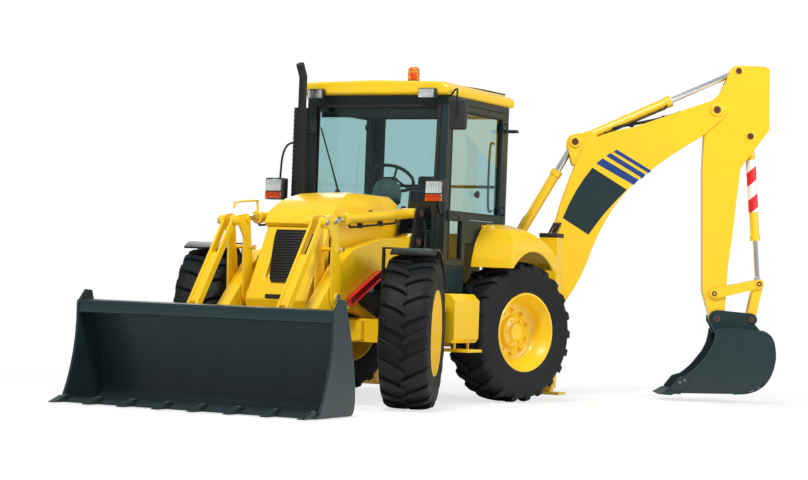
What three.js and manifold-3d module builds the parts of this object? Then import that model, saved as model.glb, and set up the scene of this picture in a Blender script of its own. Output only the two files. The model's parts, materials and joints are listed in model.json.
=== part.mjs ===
// Backhoe loader with four equal steered wheels.
// Millimetres, +Z up, -Y is the loader end, +X is the machine's left-hand side.
// Everything is modelled in a machine frame (ground z = 0, middle of the wheelbase y = 0),
// and the finished group is moved at the end so that its origin is the middle of its footprint.
import * as THREE from 'three';
import { mergeVertices } from 'three/addons/utils/BufferGeometryUtils.js';
import Module from 'manifold-3d';

const wasm = await Module();
wasm.setup();

// ---------------------------------------------------------------- driving dimensions
const WHEELBASE = 2200;
const TYRE_DIAMETER = 1320;
const TYRE_WIDTH = 440;
const TYRE_SHOULDER = 70;
const RIM_DIAMETER = 730;
const RIM_LIP = 20;
const HUB_RADIUS = 105;
const KINGPIN_X = 760;            // steering axis, from the centre line
const WHEEL_OFFSET = 220;         // tyre middle, outboard of the kingpin
const STEER_REST = 19;            // degrees: front wheels to the left, rear wheels opposite
const AXLE_Z = TYRE_DIAMETER / 2;
const FIT = 0.3;                  // gap left between two pieces that touch
const ROD_CLEARANCE = 0.6;         // gap round a cylinder's rod
const RUN = 6;                    // running gap between pieces that move

const AXLE_BEAM_WIDTH = 230;
const AXLE_BEAM_HEIGHT = 200;
const KNUCKLE_HEIGHT = 300;
const KINGPIN_BOSS = 50;
const HUB_BACK = 6;                // rim disc's inner face, inboard of the wheel's middle
const GUARD_GAP = 45;
const GUARD_ANGLES = [32, 112];   // degrees from level behind the wheel

const RAIL_X = 250;               // middle of a chassis rail
const RAIL_WIDTH = 90;
const RAIL_BOTTOM = 790;
const RAIL_HEIGHT = 190;
const RAIL_FRONT = -1490;

const HOOD_HALF = 325;
const HOOD_TO_ARM = 45;           // between the hood's side and a loader arm
const ARM_WIDTH = 120;
const ARM_X = HOOD_HALF + HOOD_TO_ARM + ARM_WIDTH / 2;   // middle of a loader arm
const LIFT_PIVOT = [-100, 1450];  // [y, z]
const TILT_BASE = [-60, 1715];    // rear pin of the tilt cylinder
const LIFT_BASE = [-120, 520];    // rear pin of the lift cylinder
const LIFT_EYE = [-1250, 900];    // rod pin of the lift cylinder, under the arm
const LEVER_FOOT = [-1580, 930];
const LEVER_LINK_PIN = [-1800, 1560];
const LEVER_ROD_PIN = [-1645, 1580];
const LEVER_SPACER = [-1560, 1340];
const BUCKET_PIN = [-2330, 280];
const BUCKET_HORN = [-2430, 680];
const LEVER_PLATE = 20;
const TOWER_PLATE = 22;

const BUCKET_WIDTH = 2420;
const BUCKET_HEIGHT = 850;
const BUCKET_WALL = 22;
const BUCKET_EDGE_Y = -3070;      // cutting edge
const BUCKET_HEEL_Y = -2500;
const BUCKET_TOOTH = 200;
const BUCKET_TEETH = 8;

const HOOD_WALL = 14;
const HOOD_REAR = -60;             // the hood's rear edge swings up just ahead of the cab
const NOSE_HALF = 300;

const CAB_HALF = 730;
const CAB_FRONT = 20;
const CAB_REAR = 1370;
const CAB_FLOOR = 1010;
const CAB_TOP = 2800;
const CAB_WALL = 45;
const CAB_ARCH_HALF = 480;        // half width of the cab between the rear wheels
const CAB_ARCH_FRONT = 470;
const CAB_ARCH_TOP = 1470;
const DOOR_HINGE_Y = 1300;
const DOOR_THICK = 40;
const DOOR_FRAME = 60;
const ROOF_THICK = 130;
const GLASS_THICK = 8;

const FENDER_INNER = 750;
const FENDER_OUTER = 1165;
const FENDER_WALL = 25;
const FENDER_CLEARANCE = 100;

const SLIDE_BEHIND_AXLE = 885;
const SLIDE_Y = WHEELBASE / 2 + SLIDE_BEHIND_AXLE;   // middle of the frame that the backhoe slides on
const RAIL_REAR = SLIDE_Y - 135;
const SLIDE_DEPTH = 110;
const SLIDE_LOW = 520;
const SLIDE_HIGH = 1120;
const SLIDE_RAIL = 110;
const LEG_X = 960;
const LEG_TUBE = 190;
const LEG_WALL = 16;
const LEG_TOP = 1590;
const LEG_TUBE_BOTTOM = 430;
const FOOT_CLEARANCE = 45;

const SWING_BEHIND_SLIDE = 415;
const SWING_Y = SLIDE_Y + SWING_BEHIND_SLIDE;
const SWING_REST = -64;           // degrees from straight back, towards the machine's left
const POST_RADIUS = 95;
const TRUNNION_RADIUS = 45;
// Points of the backhoe in its own plane: [distance from the swing axis, height]
const BOOM_FOOT = [480, 620];
const BOOM_CYLINDER_BASE = [130, 1130];
const KNEE = [925, 2580];
const DIPPER_PIVOT = [2350, 2955];
const DIPPER_TAIL = [2560, 3360];
const HOE_CYLINDER_BASE = [2700, 2700];
const HOE_LEVER_PIN = [2385, 1090];
const HOE_PIN = [2420, 840];
const HOE_LEVER_END = [2836, 1205];
const HOE_HORN = [2767, 842];
const BOOM_WIDTH = 210;
const DIPPER_WIDTH = 170;
const HOE_WIDTH = 610;
const HOE_WALL = 18;

// ---------------------------------------------------------------- finishes
const paint = (color, roughness, metalness) => new THREE.MeshStandardMaterial({ color, roughness,
  metalness });
const YELLOW = paint(0xf5c400, 0.4, 0.1);
const SLATE = paint(0x2b3e42, 0.5, 0.2);
const BLACK = paint(0x1b1c1d, 0.6, 0.1);
const RUBBER = paint(0x17181a, 0.85, 0.0);
const CHROME = paint(0xc9ccd0, 0.15, 1.0);
const GLASS = new THREE.MeshStandardMaterial({
  color: 0x4f8f92, roughness: 0.05, metalness: 0, transparent: true, opacity: 0.35 });
const GREY = paint(0x55595c, 0.6, 0.3);
const FABRIC = paint(0x3a3d40, 0.9, 0.0);

// ---------------------------------------------------------------- solids
function solid(geometry) {
  const bare = geometry.index ? geometry.toNonIndexed() : geometry.clone();
  bare.deleteAttribute('normal');
  bare.deleteAttribute('uv');
  const merged = mergeVertices(bare, 1e-3);
  return new wasm.Manifold(new wasm.Mesh({
    numProp: 3,
    vertProperties: new Float32Array(merged.attributes.position.array),
    triVerts: new Uint32Array(merged.index.array) }));
}

function join(...pieces) {
  return pieces.flat().reduce((all, piece) => all.add(piece));
}

function cut(body, ...tools) {
  return tools.flat().reduce((all, tool) => all.subtract(tool), body);
}

function box(x0, x1, y0, y1, z0, z1) {
  const geometry = new THREE.BoxGeometry(x1 - x0, y1 - y0, z1 - z0);
  geometry.translate((x0 + x1) / 2, (y0 + y1) / 2, (z0 + z1) / 2);
  return solid(geometry);
}

// A round bar from one point to another.
function bar(from, to, radius, sides = 14, endRadius = radius) {
  const a = new THREE.Vector3(...from);
  const b = new THREE.Vector3(...to);
  const geometry = new THREE.CylinderGeometry(endRadius, radius, a.distanceTo(b), sides);
  const turn = new THREE.Quaternion().setFromUnitVectors(
    new THREE.Vector3(0, 1, 0), b.clone().sub(a).normalize());
  geometry.applyQuaternion(turn);
  const middle = a.add(b).multiplyScalar(0.5);
  geometry.translate(middle.x, middle.y, middle.z);
  return solid(geometry);
}

// A pin across the machine at [y, z], from x0 to x1.
function pin(at, radius, x0, x1, sides = 12) {
  return bar([x0, at[0], at[1]], [x1, at[0], at[1]], radius, sides);
}

function outline(points) {
  return new THREE.Shape(points.map(([u, v]) => new THREE.Vector2(u, v)));
}

// A side profile in [y, z], as thick as x0 to x1.
function plate(shape, x0, x1, curveSegments = 8) {
  const profile = Array.isArray(shape) ? outline(shape) : shape;
  const geometry = new THREE.ExtrudeGeometry(profile, { depth: x1 - x0, bevelEnabled: false, curveSegments });
  geometry.applyMatrix4(new THREE.Matrix4().makeBasis(
    new THREE.Vector3(0, 1, 0), new THREE.Vector3(0, 0, 1), new THREE.Vector3(1, 0, 0)));
  geometry.translate(x0, 0, 0);
  return solid(geometry);
}

// A front profile in [x, z], from y0 to y1.
function slab(shape, y0, y1, curveSegments = 8) {
  const profile = Array.isArray(shape) ? outline(shape) : shape;
  const geometry = new THREE.ExtrudeGeometry(profile, { depth: y1 - y0, bevelEnabled: false, curveSegments });
  geometry.applyMatrix4(new THREE.Matrix4().makeBasis(
    new THREE.Vector3(1, 0, 0), new THREE.Vector3(0, 0, 1), new THREE.Vector3(0, -1, 0)));
  geometry.translate(0, y1, 0);
  return solid(geometry);
}

// A plan profile in [x, y], from z0 to z1.
function sheet(shape, z0, z1, curveSegments = 8) {
  const profile = Array.isArray(shape) ? outline(shape) : shape;
  const geometry = new THREE.ExtrudeGeometry(profile, { depth: z1 - z0, bevelEnabled: false, curveSegments });
  geometry.translate(0, 0, z0);
  return solid(geometry);
}

// A turned piece about the line y = 0, z = 0 along x: points are [x, radius] round a closed profile.
function turned(points, sides = 32) {
  const profile = [...points, points[0]].map(([x, r]) => new THREE.Vector2(r, x));
  if (THREE.ShapeUtils.area(profile) < 0) profile.reverse();
  const geometry = new THREE.LatheGeometry(profile, sides);
  geometry.rotateZ(-Math.PI / 2);
  return solid(geometry);
}

// The corners of a bar with round ends between two pins, as a side profile.
function linkOutline(a, b, radiusA, radiusB = radiusA, steps = 5) {
  const angle = Math.atan2(b[1] - a[1], b[0] - a[0]);
  const points = [];
  for (let i = 0; i <= steps; i++) {
    const t = angle + Math.PI / 2 + Math.PI * i / steps;
    points.push([a[0] + radiusA * Math.cos(t), a[1] + radiusA * Math.sin(t)]);
  }
  for (let i = 0; i <= steps; i++) {
    const t = angle - Math.PI / 2 + Math.PI * i / steps;
    points.push([b[0] + radiusB * Math.cos(t), b[1] + radiusB * Math.sin(t)]);
  }
  return points;
}

function along(a, b, distance) {
  const length = Math.hypot(b[0] - a[0], b[1] - a[1]);
  return [a[0] + (b[0] - a[0]) * distance / length, a[1] + (b[1] - a[1]) * distance / length];
}

function between(a, b) {
  return Math.hypot(b[0] - a[0], b[1] - a[1]);
}

const machine = new THREE.Group();

function addNode(name, body, material, parent = machine) {
  const mesh = body.getMesh();
  const geometry = new THREE.BufferGeometry();
  geometry.setAttribute('position', new THREE.BufferAttribute(new Float32Array(mesh.vertProperties), 3));
  geometry.setIndex(new THREE.BufferAttribute(new Uint32Array(mesh.triVerts), 1));
  const node = new THREE.Mesh(geometry, material);
  node.name = name;
  parent.add(node);
  return node;
}

const SIDES = [['left', 1], ['right', -1]];

// ---------------------------------------------------------------- wheels, knuckles and axles
function tyreSolid() {
  const w = TYRE_WIDTH / 2;
  const r = TYRE_DIAMETER / 2;
  const bore = RIM_DIAMETER / 2 + FIT;
  const half = [[w - 30, bore], [w, bore + 90], [w, r - TYRE_SHOULDER * 1.4], [w - TYRE_SHOULDER * 0.9, r]];
  return turned([...half, ...half.map(([x, radius]) => [-x, radius]).reverse()]);
}

// A dished rim: x grows outboard, and the disc sits deep towards the knuckle.
function rimSolid() {
  const w = TYRE_WIDTH / 2;
  const r = RIM_DIAMETER / 2;
  return turned([
    [w - 34, r], [-w + 34, r], [-w + 34, r - RIM_LIP], [-60, r - RIM_LIP - 40],
    [-HUB_BACK, HUB_RADIUS + 40], [-HUB_BACK, 0], [76, 0], [76, HUB_RADIUS - 20], [30, HUB_RADIUS + 6],
    [24, HUB_RADIUS + 50], [60, r - 70], [w - 34, r - RIM_LIP],
  ]);
}

// The swivelling hub carrier, with the kingpin eyes above and below the beam end.
function knuckleSolid() {
  const hub = bar([KINGPIN_BOSS + 12, 0, 0], [WHEEL_OFFSET - HUB_BACK - FIT, 0, 0], 120, 24, HUB_RADIUS);
  const web = box(-70, KINGPIN_BOSS + 30, -75, 75, -KNUCKLE_HEIGHT / 2, KNUCKLE_HEIGHT / 2);
  const slot = box(-80, KINGPIN_BOSS + 8, -90, 90, -AXLE_BEAM_HEIGHT / 2 - FIT, AXLE_BEAM_HEIGHT / 2 + FIT);
  return join(cut(web, slot), hub);
}

// A guard over the tyre, carried by the knuckle, that reaches further down behind the wheel.
function mudguardSolid(sign) {
  const inner = TYRE_DIAMETER / 2 + GUARD_GAP;
  const outer = inner + 16;
  const [rear, front] = GUARD_ANGLES.map((angle) => THREE.MathUtils.degToRad(angle));
  const shape = new THREE.Shape();
  const start = sign > 0 ? rear : Math.PI - front;
  const end = sign > 0 ? front : Math.PI - rear;
  shape.absarc(0, 0, outer, start, end, false);
  shape.absarc(0, 0, inner, end, start, true);
  const stay = join(
    box(-62, -42, -40, 40, AXLE_BEAM_HEIGHT / 2 + RUN, outer),
    box(-62, 60, -40, 40, outer - 14, outer),
    box(-70, -42, -40, 40, 110, 150));
  return join(plate(shape, 40, TYRE_WIDTH - 15, 12), stay);
}

const axleNames = [['front', -WHEELBASE / 2, STEER_REST], ['rear', WHEELBASE / 2, -STEER_REST]];
for (const [end, y, steer] of axleNames) {
  const beamLow = AXLE_Z - AXLE_BEAM_HEIGHT / 2;
  const beamHigh = AXLE_Z + AXLE_BEAM_HEIGHT / 2;
  const beam = join(
    box(-KINGPIN_X, KINGPIN_X, y - KINGPIN_BOSS, y + KINGPIN_BOSS, beamLow, beamHigh),
    bar([KINGPIN_X, y, beamLow], [KINGPIN_X, y, beamHigh], KINGPIN_BOSS),
    bar([-KINGPIN_X, y, beamLow], [-KINGPIN_X, y, beamHigh], KINGPIN_BOSS),
    slab([[-KINGPIN_X + 190, AXLE_Z - 80], [-220, AXLE_Z - 130], [220, AXLE_Z - 130],
      [KINGPIN_X - 190, AXLE_Z - 80],
      [KINGPIN_X - 190, AXLE_Z + 80], [220, AXLE_Z + 110], [-220, AXLE_Z + 110],
      [-KINGPIN_X + 190, AXLE_Z + 80]],
      y - AXLE_BEAM_WIDTH / 2, y + AXLE_BEAM_WIDTH / 2),
    bar([0, y - 190, AXLE_Z], [0, y + 190, AXLE_Z], 125, 24));
  addNode(`${end}_axle`, beam, end === 'front' ? YELLOW : BLACK);
  for (const [side, sign] of SIDES) {
    const corner = new THREE.Group();
    corner.position.set(sign * KINGPIN_X, y, AXLE_Z);
    corner.rotation.z = THREE.MathUtils.degToRad(steer);
    machine.add(corner);
    const facing = new THREE.Group();
    facing.rotation.z = sign > 0 ? 0 : Math.PI;
    corner.add(facing);
    const knuckle = knuckleSolid();
    addNode(`${end}_${side}_knuckle`, end === 'front' ? join(knuckle, mudguardSolid(sign)) : knuckle,
      end === 'front' ? BLACK : YELLOW, facing);
    const wheel = new THREE.Group();
    wheel.position.x = WHEEL_OFFSET;
    facing.add(wheel);
    addNode(`${end}_${side}_tyre`, tyreSolid(), RUBBER, wheel);
    addNode(`${end}_${side}_rim`, rimSolid(), YELLOW, wheel);
  }
}

// ---------------------------------------------------------------- chassis
// Plates of a loader tower stand on either side of the arm, with the lift and tilt pins in them.
const TOWER_INNER = ARM_X - ARM_WIDTH / 2 - RUN;
const TOWER_OUTER = ARM_X + ARM_WIDTH / 2 + RUN;

function towerSolid(sign) {
  const shape = [
    [-330, RAIL_BOTTOM - 330], [-60, RAIL_BOTTOM - 330], [10, RAIL_BOTTOM], [10, 1400],
    [TILT_BASE[0] + 62, TILT_BASE[1]], [TILT_BASE[0] + 20, TILT_BASE[1] + 62],
    [TILT_BASE[0] - 30, TILT_BASE[1] + 62],
    [TILT_BASE[0] - 62, TILT_BASE[1]], [LIFT_PIVOT[0] - 85, LIFT_PIVOT[1]], [-300, 1150], [-330, RAIL_BOTTOM],
  ];
  const span = (a, b) => (sign > 0 ? [a, b] : [-b, -a]);
  const inner = plate(shape, ...span(TOWER_INNER - TOWER_PLATE, TOWER_INNER));
  const outer = plate(shape, ...span(TOWER_OUTER, TOWER_OUTER + TOWER_PLATE));
  const [w0, w1] = span(TOWER_INNER - 5, TOWER_OUTER + 5);
  const web = box(w0, w1, -20, 5, RAIL_BOTTOM, 1360);
  const foot = box(...span(RAIL_X, TOWER_INNER - 5), -320, 0, RAIL_BOTTOM + 10,
    RAIL_BOTTOM + RAIL_HEIGHT - 10);
  const ends = [LIFT_PIVOT, TILT_BASE, LIFT_BASE].map((at) => join(
    pin(at, 42, ...span(TOWER_OUTER + 5, TOWER_OUTER + TOWER_PLATE + 16)),
    pin(at, 42, ...span(TOWER_INNER - TOWER_PLATE - 12, TOWER_INNER - 5))));
  return join(inner, outer, web, foot, ends);
}

function chassisSolid() {
  const railTop = RAIL_BOTTOM + RAIL_HEIGHT;
  const rails = SIDES.map(([, sign]) => box(
    sign * RAIL_X - RAIL_WIDTH / 2, sign * RAIL_X + RAIL_WIDTH / 2, RAIL_FRONT, RAIL_REAR, RAIL_BOTTOM,
      railTop));
  const cross = [-1430, -900, 60, 700, 1700].map((y) => box(
    -RAIL_X, RAIL_X, y - 50, y + 50, RAIL_BOTTOM + 15, railTop - 60));
  // cradles hold the nose and tail trunnions of each axle
  const cradles = axleNames.flatMap(([, y]) => [-1, 1].map((way) => cut(
    slab([[-290, RAIL_BOTTOM + 20], [-180, AXLE_Z - 160], [180, AXLE_Z - 160], [290, RAIL_BOTTOM + 20]],
      y + way * 160 - 20, y + way * 160 + 20),
    bar([0, y - 250, AXLE_Z], [0, y + 250, AXLE_Z], 125 + FIT, 24))));
  const gearbox = box(-RAIL_X + 30, RAIL_X - 30, -160, 420, AXLE_Z - 130, RAIL_BOTTOM + 60);
  const cabMounts = SIDES.flatMap(([, sign]) => [130, 1280].map((y) => box(
    ...(sign > 0 ? [RAIL_X, 430] : [-430, -RAIL_X]), y - 45, y + 45, railTop - 60, CAB_FLOOR - FIT)));
  const tail = box(-RAIL_X - 45, RAIL_X + 45, RAIL_REAR - 30, SLIDE_Y - SLIDE_DEPTH / 2 - FIT,
    SLIDE_LOW + 40, SLIDE_HIGH - 30);
  return join(rails, cross, cradles, gearbox, cabMounts, tail, SIDES.map(([, sign]) => towerSolid(sign)));
}
addNode('chassis_frame', chassisSolid(), BLACK);

const ENGINE_FRONT = -1270;
const ENGINE_REAR = -380;
addNode('engine_block', join(
  box(-RAIL_X + RAIL_WIDTH / 2 + RUN, RAIL_X - RAIL_WIDTH / 2 - RUN, ENGINE_FRONT, ENGINE_REAR,
    RAIL_BOTTOM + RAIL_HEIGHT - 60 + FIT, 1000),
  box(-250, 250, ENGINE_FRONT, ENGINE_REAR, RAIL_BOTTOM + RAIL_HEIGHT + FIT, 1480)), GREY);

// ---------------------------------------------------------------- hood and nose
// The nose slopes forward towards its foot; the hood opens from it about a hinge by the cab.
const NOSE_TOP = 1530;
const NOSE_LINE = [[-1370, NOSE_TOP], [-1640, 1040], [-1715, 900], [-1690, 770]];
const NOSE_BACK = -1345;
const NOSE_SEAT = RAIL_BOTTOM + RAIL_HEIGHT + FIT;

function noseSolid() {
  const body = plate([...NOSE_LINE, [-1540, 770], [-1500, NOSE_SEAT], [NOSE_BACK, NOSE_SEAT],
    [NOSE_BACK, NOSE_TOP]],
    -NOSE_HALF, NOSE_HALF);
  const hollow = plate([[-1470, 1060], [-1570, 1060], [-1345, 1478], [-1300, 1478], [-1300, 1060]],
    -NOSE_HALF + 20, NOSE_HALF - 20);
  const mouth = plate([[-1760, 1060], [-1560, 1080], [-1360, 1465], [-1600, 1465]], -170, 170);
  return cut(body, hollow, mouth);
}
addNode('front_nose', noseSolid(), YELLOW);

function hoodSolid() {
  const crown = (grow) => slab([
    [-HOOD_HALF + grow, 1000], [-HOOD_HALF + grow, 1640], [-HOOD_HALF + 40 + grow, 1790 - grow],
    [-200, 1858 - grow], [0, 1875 - grow], [200, 1858 - grow],
    [HOOD_HALF - 40 - grow, 1790 - grow], [HOOD_HALF - grow, 1640], [HOOD_HALF - grow, 1000]], -1500, 100);
  const sideLine = [[HOOD_REAR, 1250], [HOOD_REAR, 1868], [-560, 1872], [-950, 1835], [-1180, 1760],
    [-1330, 1668],
    [-1400, 1560], [-1372, NOSE_TOP + FIT], [-1340, NOSE_TOP + FIT], [-1310, 1250]];
  const innerLine = [[10, 1200], [10, 1850], [-560, 1854], [-945, 1818], [-1172, 1744], [-1316, 1656],
    [-1375, 1562], [-1355, 1546], [-1322, 1546],
    [-1322, 1500], [-1420, 1500], [-1420, 1200]];
  const outer = plate(sideLine, -HOOD_HALF, HOOD_HALF).intersect(crown(0));
  const inner = plate(innerLine, -HOOD_HALF - 1, HOOD_HALF + 1).intersect(crown(HOOD_WALL));
  return cut(outer, inner);
}
addNode('hood', hoodSolid(), YELLOW);

// ---------------------------------------------------------------- cab
const DOOR_FRONT = 60;
const DOOR_HINGE_X = CAB_HALF + 15;
const DOOR_NOTCH_Y = 440;
const DOOR_LOW = 1255;
const DOOR_STEP = 1690;
const DOOR_HEAD = 2735;
const doorOutline = (grow) => [
  [DOOR_FRONT - grow, DOOR_LOW - grow], [DOOR_NOTCH_Y + grow, DOOR_LOW - grow], [DOOR_NOTCH_Y + grow, 1560],
  [DOOR_NOTCH_Y + 120 + grow, DOOR_STEP - grow], [DOOR_HINGE_Y - 20 + grow, DOOR_STEP - grow],
  [DOOR_HINGE_Y - 20 + grow, DOOR_HEAD + grow], [DOOR_FRONT - grow, DOOR_HEAD + grow]];

const windscreenOutline = (inset) => [
  [-620 + inset, 1330 + inset], [620 - inset, 1330 + inset],
  [650 - inset, CAB_TOP - 90 - inset], [-650 + inset, CAB_TOP - 90 - inset]];

function cabSolid() {
  const outer = box(-CAB_HALF, CAB_HALF, CAB_FRONT, CAB_REAR, CAB_FLOOR, CAB_TOP);
  const inner = box(-CAB_HALF + CAB_WALL, CAB_HALF - CAB_WALL, CAB_FRONT + CAB_WALL, CAB_REAR - CAB_WALL,
    CAB_FLOOR + CAB_WALL, CAB_TOP - CAB_WALL);
  const arches = SIDES.map(([, sign]) => box(
    ...(sign > 0 ? [CAB_ARCH_HALF, 900] : [-900, -CAB_ARCH_HALF]), CAB_ARCH_FRONT, 1500, 900, CAB_ARCH_TOP));
  const archWalls = SIDES.map(([, sign]) => box(
    ...(sign > 0 ? [CAB_ARCH_HALF - 25, 900] : [-900, -CAB_ARCH_HALF + 25]), CAB_ARCH_FRONT - 25, 1500, 900,
    CAB_ARCH_TOP + 25));
  const shell = cut(outer, arches, cut(inner, archWalls));
  const windscreen = slab(windscreenOutline(0), CAB_FRONT - 5, CAB_FRONT + CAB_WALL + 5);
  const rear = box(-620, 620, CAB_REAR - CAB_WALL - 5, CAB_REAR + 5, 1560, CAB_TOP - 90);
  const doors = plate(doorOutline(RUN), -900, 900);
  const hatch = box(-560, 560, CAB_FRONT + 160, CAB_REAR - 160, CAB_TOP - CAB_WALL - 5, CAB_TOP + 5);
  return cut(shell, windscreen, rear, doors, hatch);
}
addNode('cab_shell', cabSolid(), SLATE);

function roofSolid() {
  const z0 = CAB_TOP + FIT;
  const shape = new THREE.Shape();
  shape.moveTo(-770, -70);
  shape.quadraticCurveTo(0, -110, 770, -70);
  shape.lineTo(770, CAB_REAR + 45);
  shape.lineTo(-770, CAB_REAR + 45);
  const upper = sheet(shape, z0, z0 + ROOF_THICK);
  const trim = slab([[-770, z0 - 1], [770, z0 - 1], [770, z0 + 70], [700, z0 + ROOF_THICK - 15],
    [0, z0 + ROOF_THICK],
    [-700, z0 + ROOF_THICK - 15], [-770, z0 + 70]], -150, CAB_REAR + 100);
  return upper.intersect(trim);
}
addNode('cab_roof', roofSolid(), YELLOW);

addNode('windscreen', slab(windscreenOutline(FIT),
  CAB_FRONT + 12, CAB_FRONT + 12 + GLASS_THICK), GLASS);

function doorSolid(sign) {
  const outer = plate(doorOutline(0), ...(sign > 0 ? [CAB_HALF - DOOR_THICK, CAB_HALF] : [-CAB_HALF,
    -CAB_HALF + DOOR_THICK]));
  const upperGlass = plate([[DOOR_FRONT + DOOR_FRAME, DOOR_STEP + 60],
    [DOOR_HINGE_Y - 20 - DOOR_FRAME, DOOR_STEP + 60],
    [DOOR_HINGE_Y - 20 - DOOR_FRAME, DOOR_HEAD - DOOR_FRAME],
    [DOOR_FRONT + DOOR_FRAME, DOOR_HEAD - DOOR_FRAME]], -900, 900);
  const lowerGlass = plate([[DOOR_FRONT + DOOR_FRAME, DOOR_LOW + 60], [DOOR_NOTCH_Y - 45, DOOR_LOW + 60],
    [DOOR_NOTCH_Y - 45, DOOR_STEP - 20], [DOOR_FRONT + DOOR_FRAME, DOOR_STEP - 20]], -900, 900);
  const hinges = [1800, 2600].map((z) => bar(
    [sign * DOOR_HINGE_X, DOOR_HINGE_Y, z - 45], [sign * DOOR_HINGE_X, DOOR_HINGE_Y, z + 45], 14, 12));
  const straps = [1800, 2600].map((z) => box(
    ...(sign > 0 ? [CAB_HALF - 10, CAB_HALF + 18] : [-CAB_HALF - 18, -CAB_HALF + 10]),
    DOOR_HINGE_Y - 90, DOOR_HINGE_Y, z - 25, z + 25));
  const clear = box(...(sign > 0 ? [CAB_HALF - 60, CAB_HALF + FIT] : [-CAB_HALF - FIT, -CAB_HALF + 60]),
    DOOR_HINGE_Y - 20, CAB_REAR, 1500, CAB_TOP);
  return cut(join(cut(outer, upperGlass, lowerGlass), hinges, straps), clear);
}
for (const [side, sign] of SIDES) addNode(`${side}_door`, doorSolid(sign), SLATE);

function seatSolid() {
  const cushion = box(-240, 240, 620, 1080, 1480, 1590);
  const back = plate([[1060, 1540], [1150, 1540], [1210, 2150], [1130, 2150]], -230, 230);
  const base = box(-190, 190, 680, 1040, CAB_FLOOR + CAB_WALL + FIT, 1500);
  return join(cushion, back, base);
}
addNode('seat', seatSolid(), FABRIC);

const WHEEL_RAKE = -0.63;         // radians from upright
const WHEEL_CENTRE = [0, 420, 2060];
function dashboardSolid() {
  const console_ = plate([[90, CAB_FLOOR + CAB_WALL + FIT], [250, CAB_FLOOR + CAB_WALL + FIT], [250, 1350],
    [330, 1650], [250, 1730], [90, 1560]], -210, 210);
  const column = bar([0, 255, 1650], WHEEL_CENTRE, 32, 16);
  const wheel = new THREE.TorusGeometry(190, 16, 6, 20);
  wheel.rotateX(WHEEL_RAKE);
  wheel.translate(...WHEEL_CENTRE);
  const spokes = [90, 210, 330].map((angle) => {
    const spoke = new THREE.CylinderGeometry(10, 10, 190, 8);
    spoke.translate(0, 95, 0);
    spoke.rotateZ(THREE.MathUtils.degToRad(angle));
    spoke.rotateX(WHEEL_RAKE);
    spoke.translate(...WHEEL_CENTRE);
    return solid(spoke);
  });
  return join(console_, column, solid(wheel), spokes);
}
addNode('dashboard', dashboardSolid(), BLACK);

// ---------------------------------------------------------------- fenders, tanks and exhaust
function fenderSolid(sign) {
  const side = (d) => [[575 + d, 1250], [590 + d, 1330], [650 + d, 1480], [760 + d, 1600 - d],
    [900, 1660 - d],
    [1080, 1660 - d], [1300 - d, 1590 - d], [1500 - d, 1480 - d], [1690 - d, 1335 - d], [1690 - d, 1250]];
  const front = (d) => [[FENDER_INNER, 1200], [FENDER_OUTER - d, 1200], [FENDER_OUTER - d, 1420 - d],
    [FENDER_OUTER - 40 - d, 1520 - d], [FENDER_OUTER - 130 - d, 1610 - d], [FENDER_OUTER - 260 - d, 1660 - d],
    [FENDER_INNER, 1662 - d]];
  const mirrored = (points) => points.map(([x, z]) => [sign * x, z]);
  const order = (points) => (sign > 0 ? mirrored(points) : mirrored(points).reverse());
  const body = (d) => plate(side(d), -1300, 1300).intersect(slab(order(front(d)), 500, 1800));
  const arch = pin([WHEELBASE / 2, AXLE_Z], TYRE_DIAMETER / 2 + FENDER_CLEARANCE, -1300, 1300, 40);
  const skin = cut(body(0), body(FENDER_WALL), box(-1300, 1300, 500, 1800, 1100, 1252), arch);
  const flange = box(...(sign > 0 ? [CAB_HALF + FIT, FENDER_INNER + 12] : [-FENDER_INNER - 12,
    -CAB_HALF - FIT]),
    820, 1330, 1510, 1650);
  return join(skin, flange);
}
for (const [side, sign] of SIDES) addNode(`${side}_fender`, fenderSolid(sign), YELLOW);

const TANK_TOP = 1000;
const TANK_BOTTOM = 560;
const TANK_HALF_LENGTH = 260;
const TANK_INNER = TOWER_OUTER + TOWER_PLATE + 27;
const TANK_OUTER = 1000;
function tankSolid(sign) {
  const s = (a, b) => (sign > 0 ? [a, b] : [-b, -a]);
  const body = slab(sign > 0
    ? [[TANK_INNER, TANK_BOTTOM], [TANK_OUTER - 30, TANK_BOTTOM], [TANK_OUTER, TANK_BOTTOM + 40],
      [TANK_OUTER, TANK_TOP - 60],
      [TANK_OUTER - 60, TANK_TOP], [TANK_INNER, TANK_TOP]]
    : [[-TANK_INNER, TANK_BOTTOM], [-TANK_INNER, TANK_TOP], [-TANK_OUTER + 60, TANK_TOP],
      [-TANK_OUTER, TANK_TOP - 60],
      [-TANK_OUTER, TANK_BOTTOM + 40], [-TANK_OUTER + 30, TANK_BOTTOM]],
  -TANK_HALF_LENGTH, TANK_HALF_LENGTH);
  const bracket = box(...s(RAIL_X + RAIL_WIDTH / 2 + FIT, TANK_INNER + 5), 40, 180, 820, 912);
  const step = join(
    box(...s(TANK_OUTER - 220, TANK_OUTER + 90), -150, 150, 480, 505),
    box(...s(TANK_OUTER - 60, TANK_OUTER - 40), -150, -130, 480, TANK_BOTTOM + 45),
    box(...s(TANK_OUTER - 60, TANK_OUTER - 40), 130, 150, 480, TANK_BOTTOM + 45));
  return join(body, bracket, step);
}
addNode('fuel_tank', tankSolid(1), YELLOW);
addNode('battery_box', tankSolid(-1), YELLOW);

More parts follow.
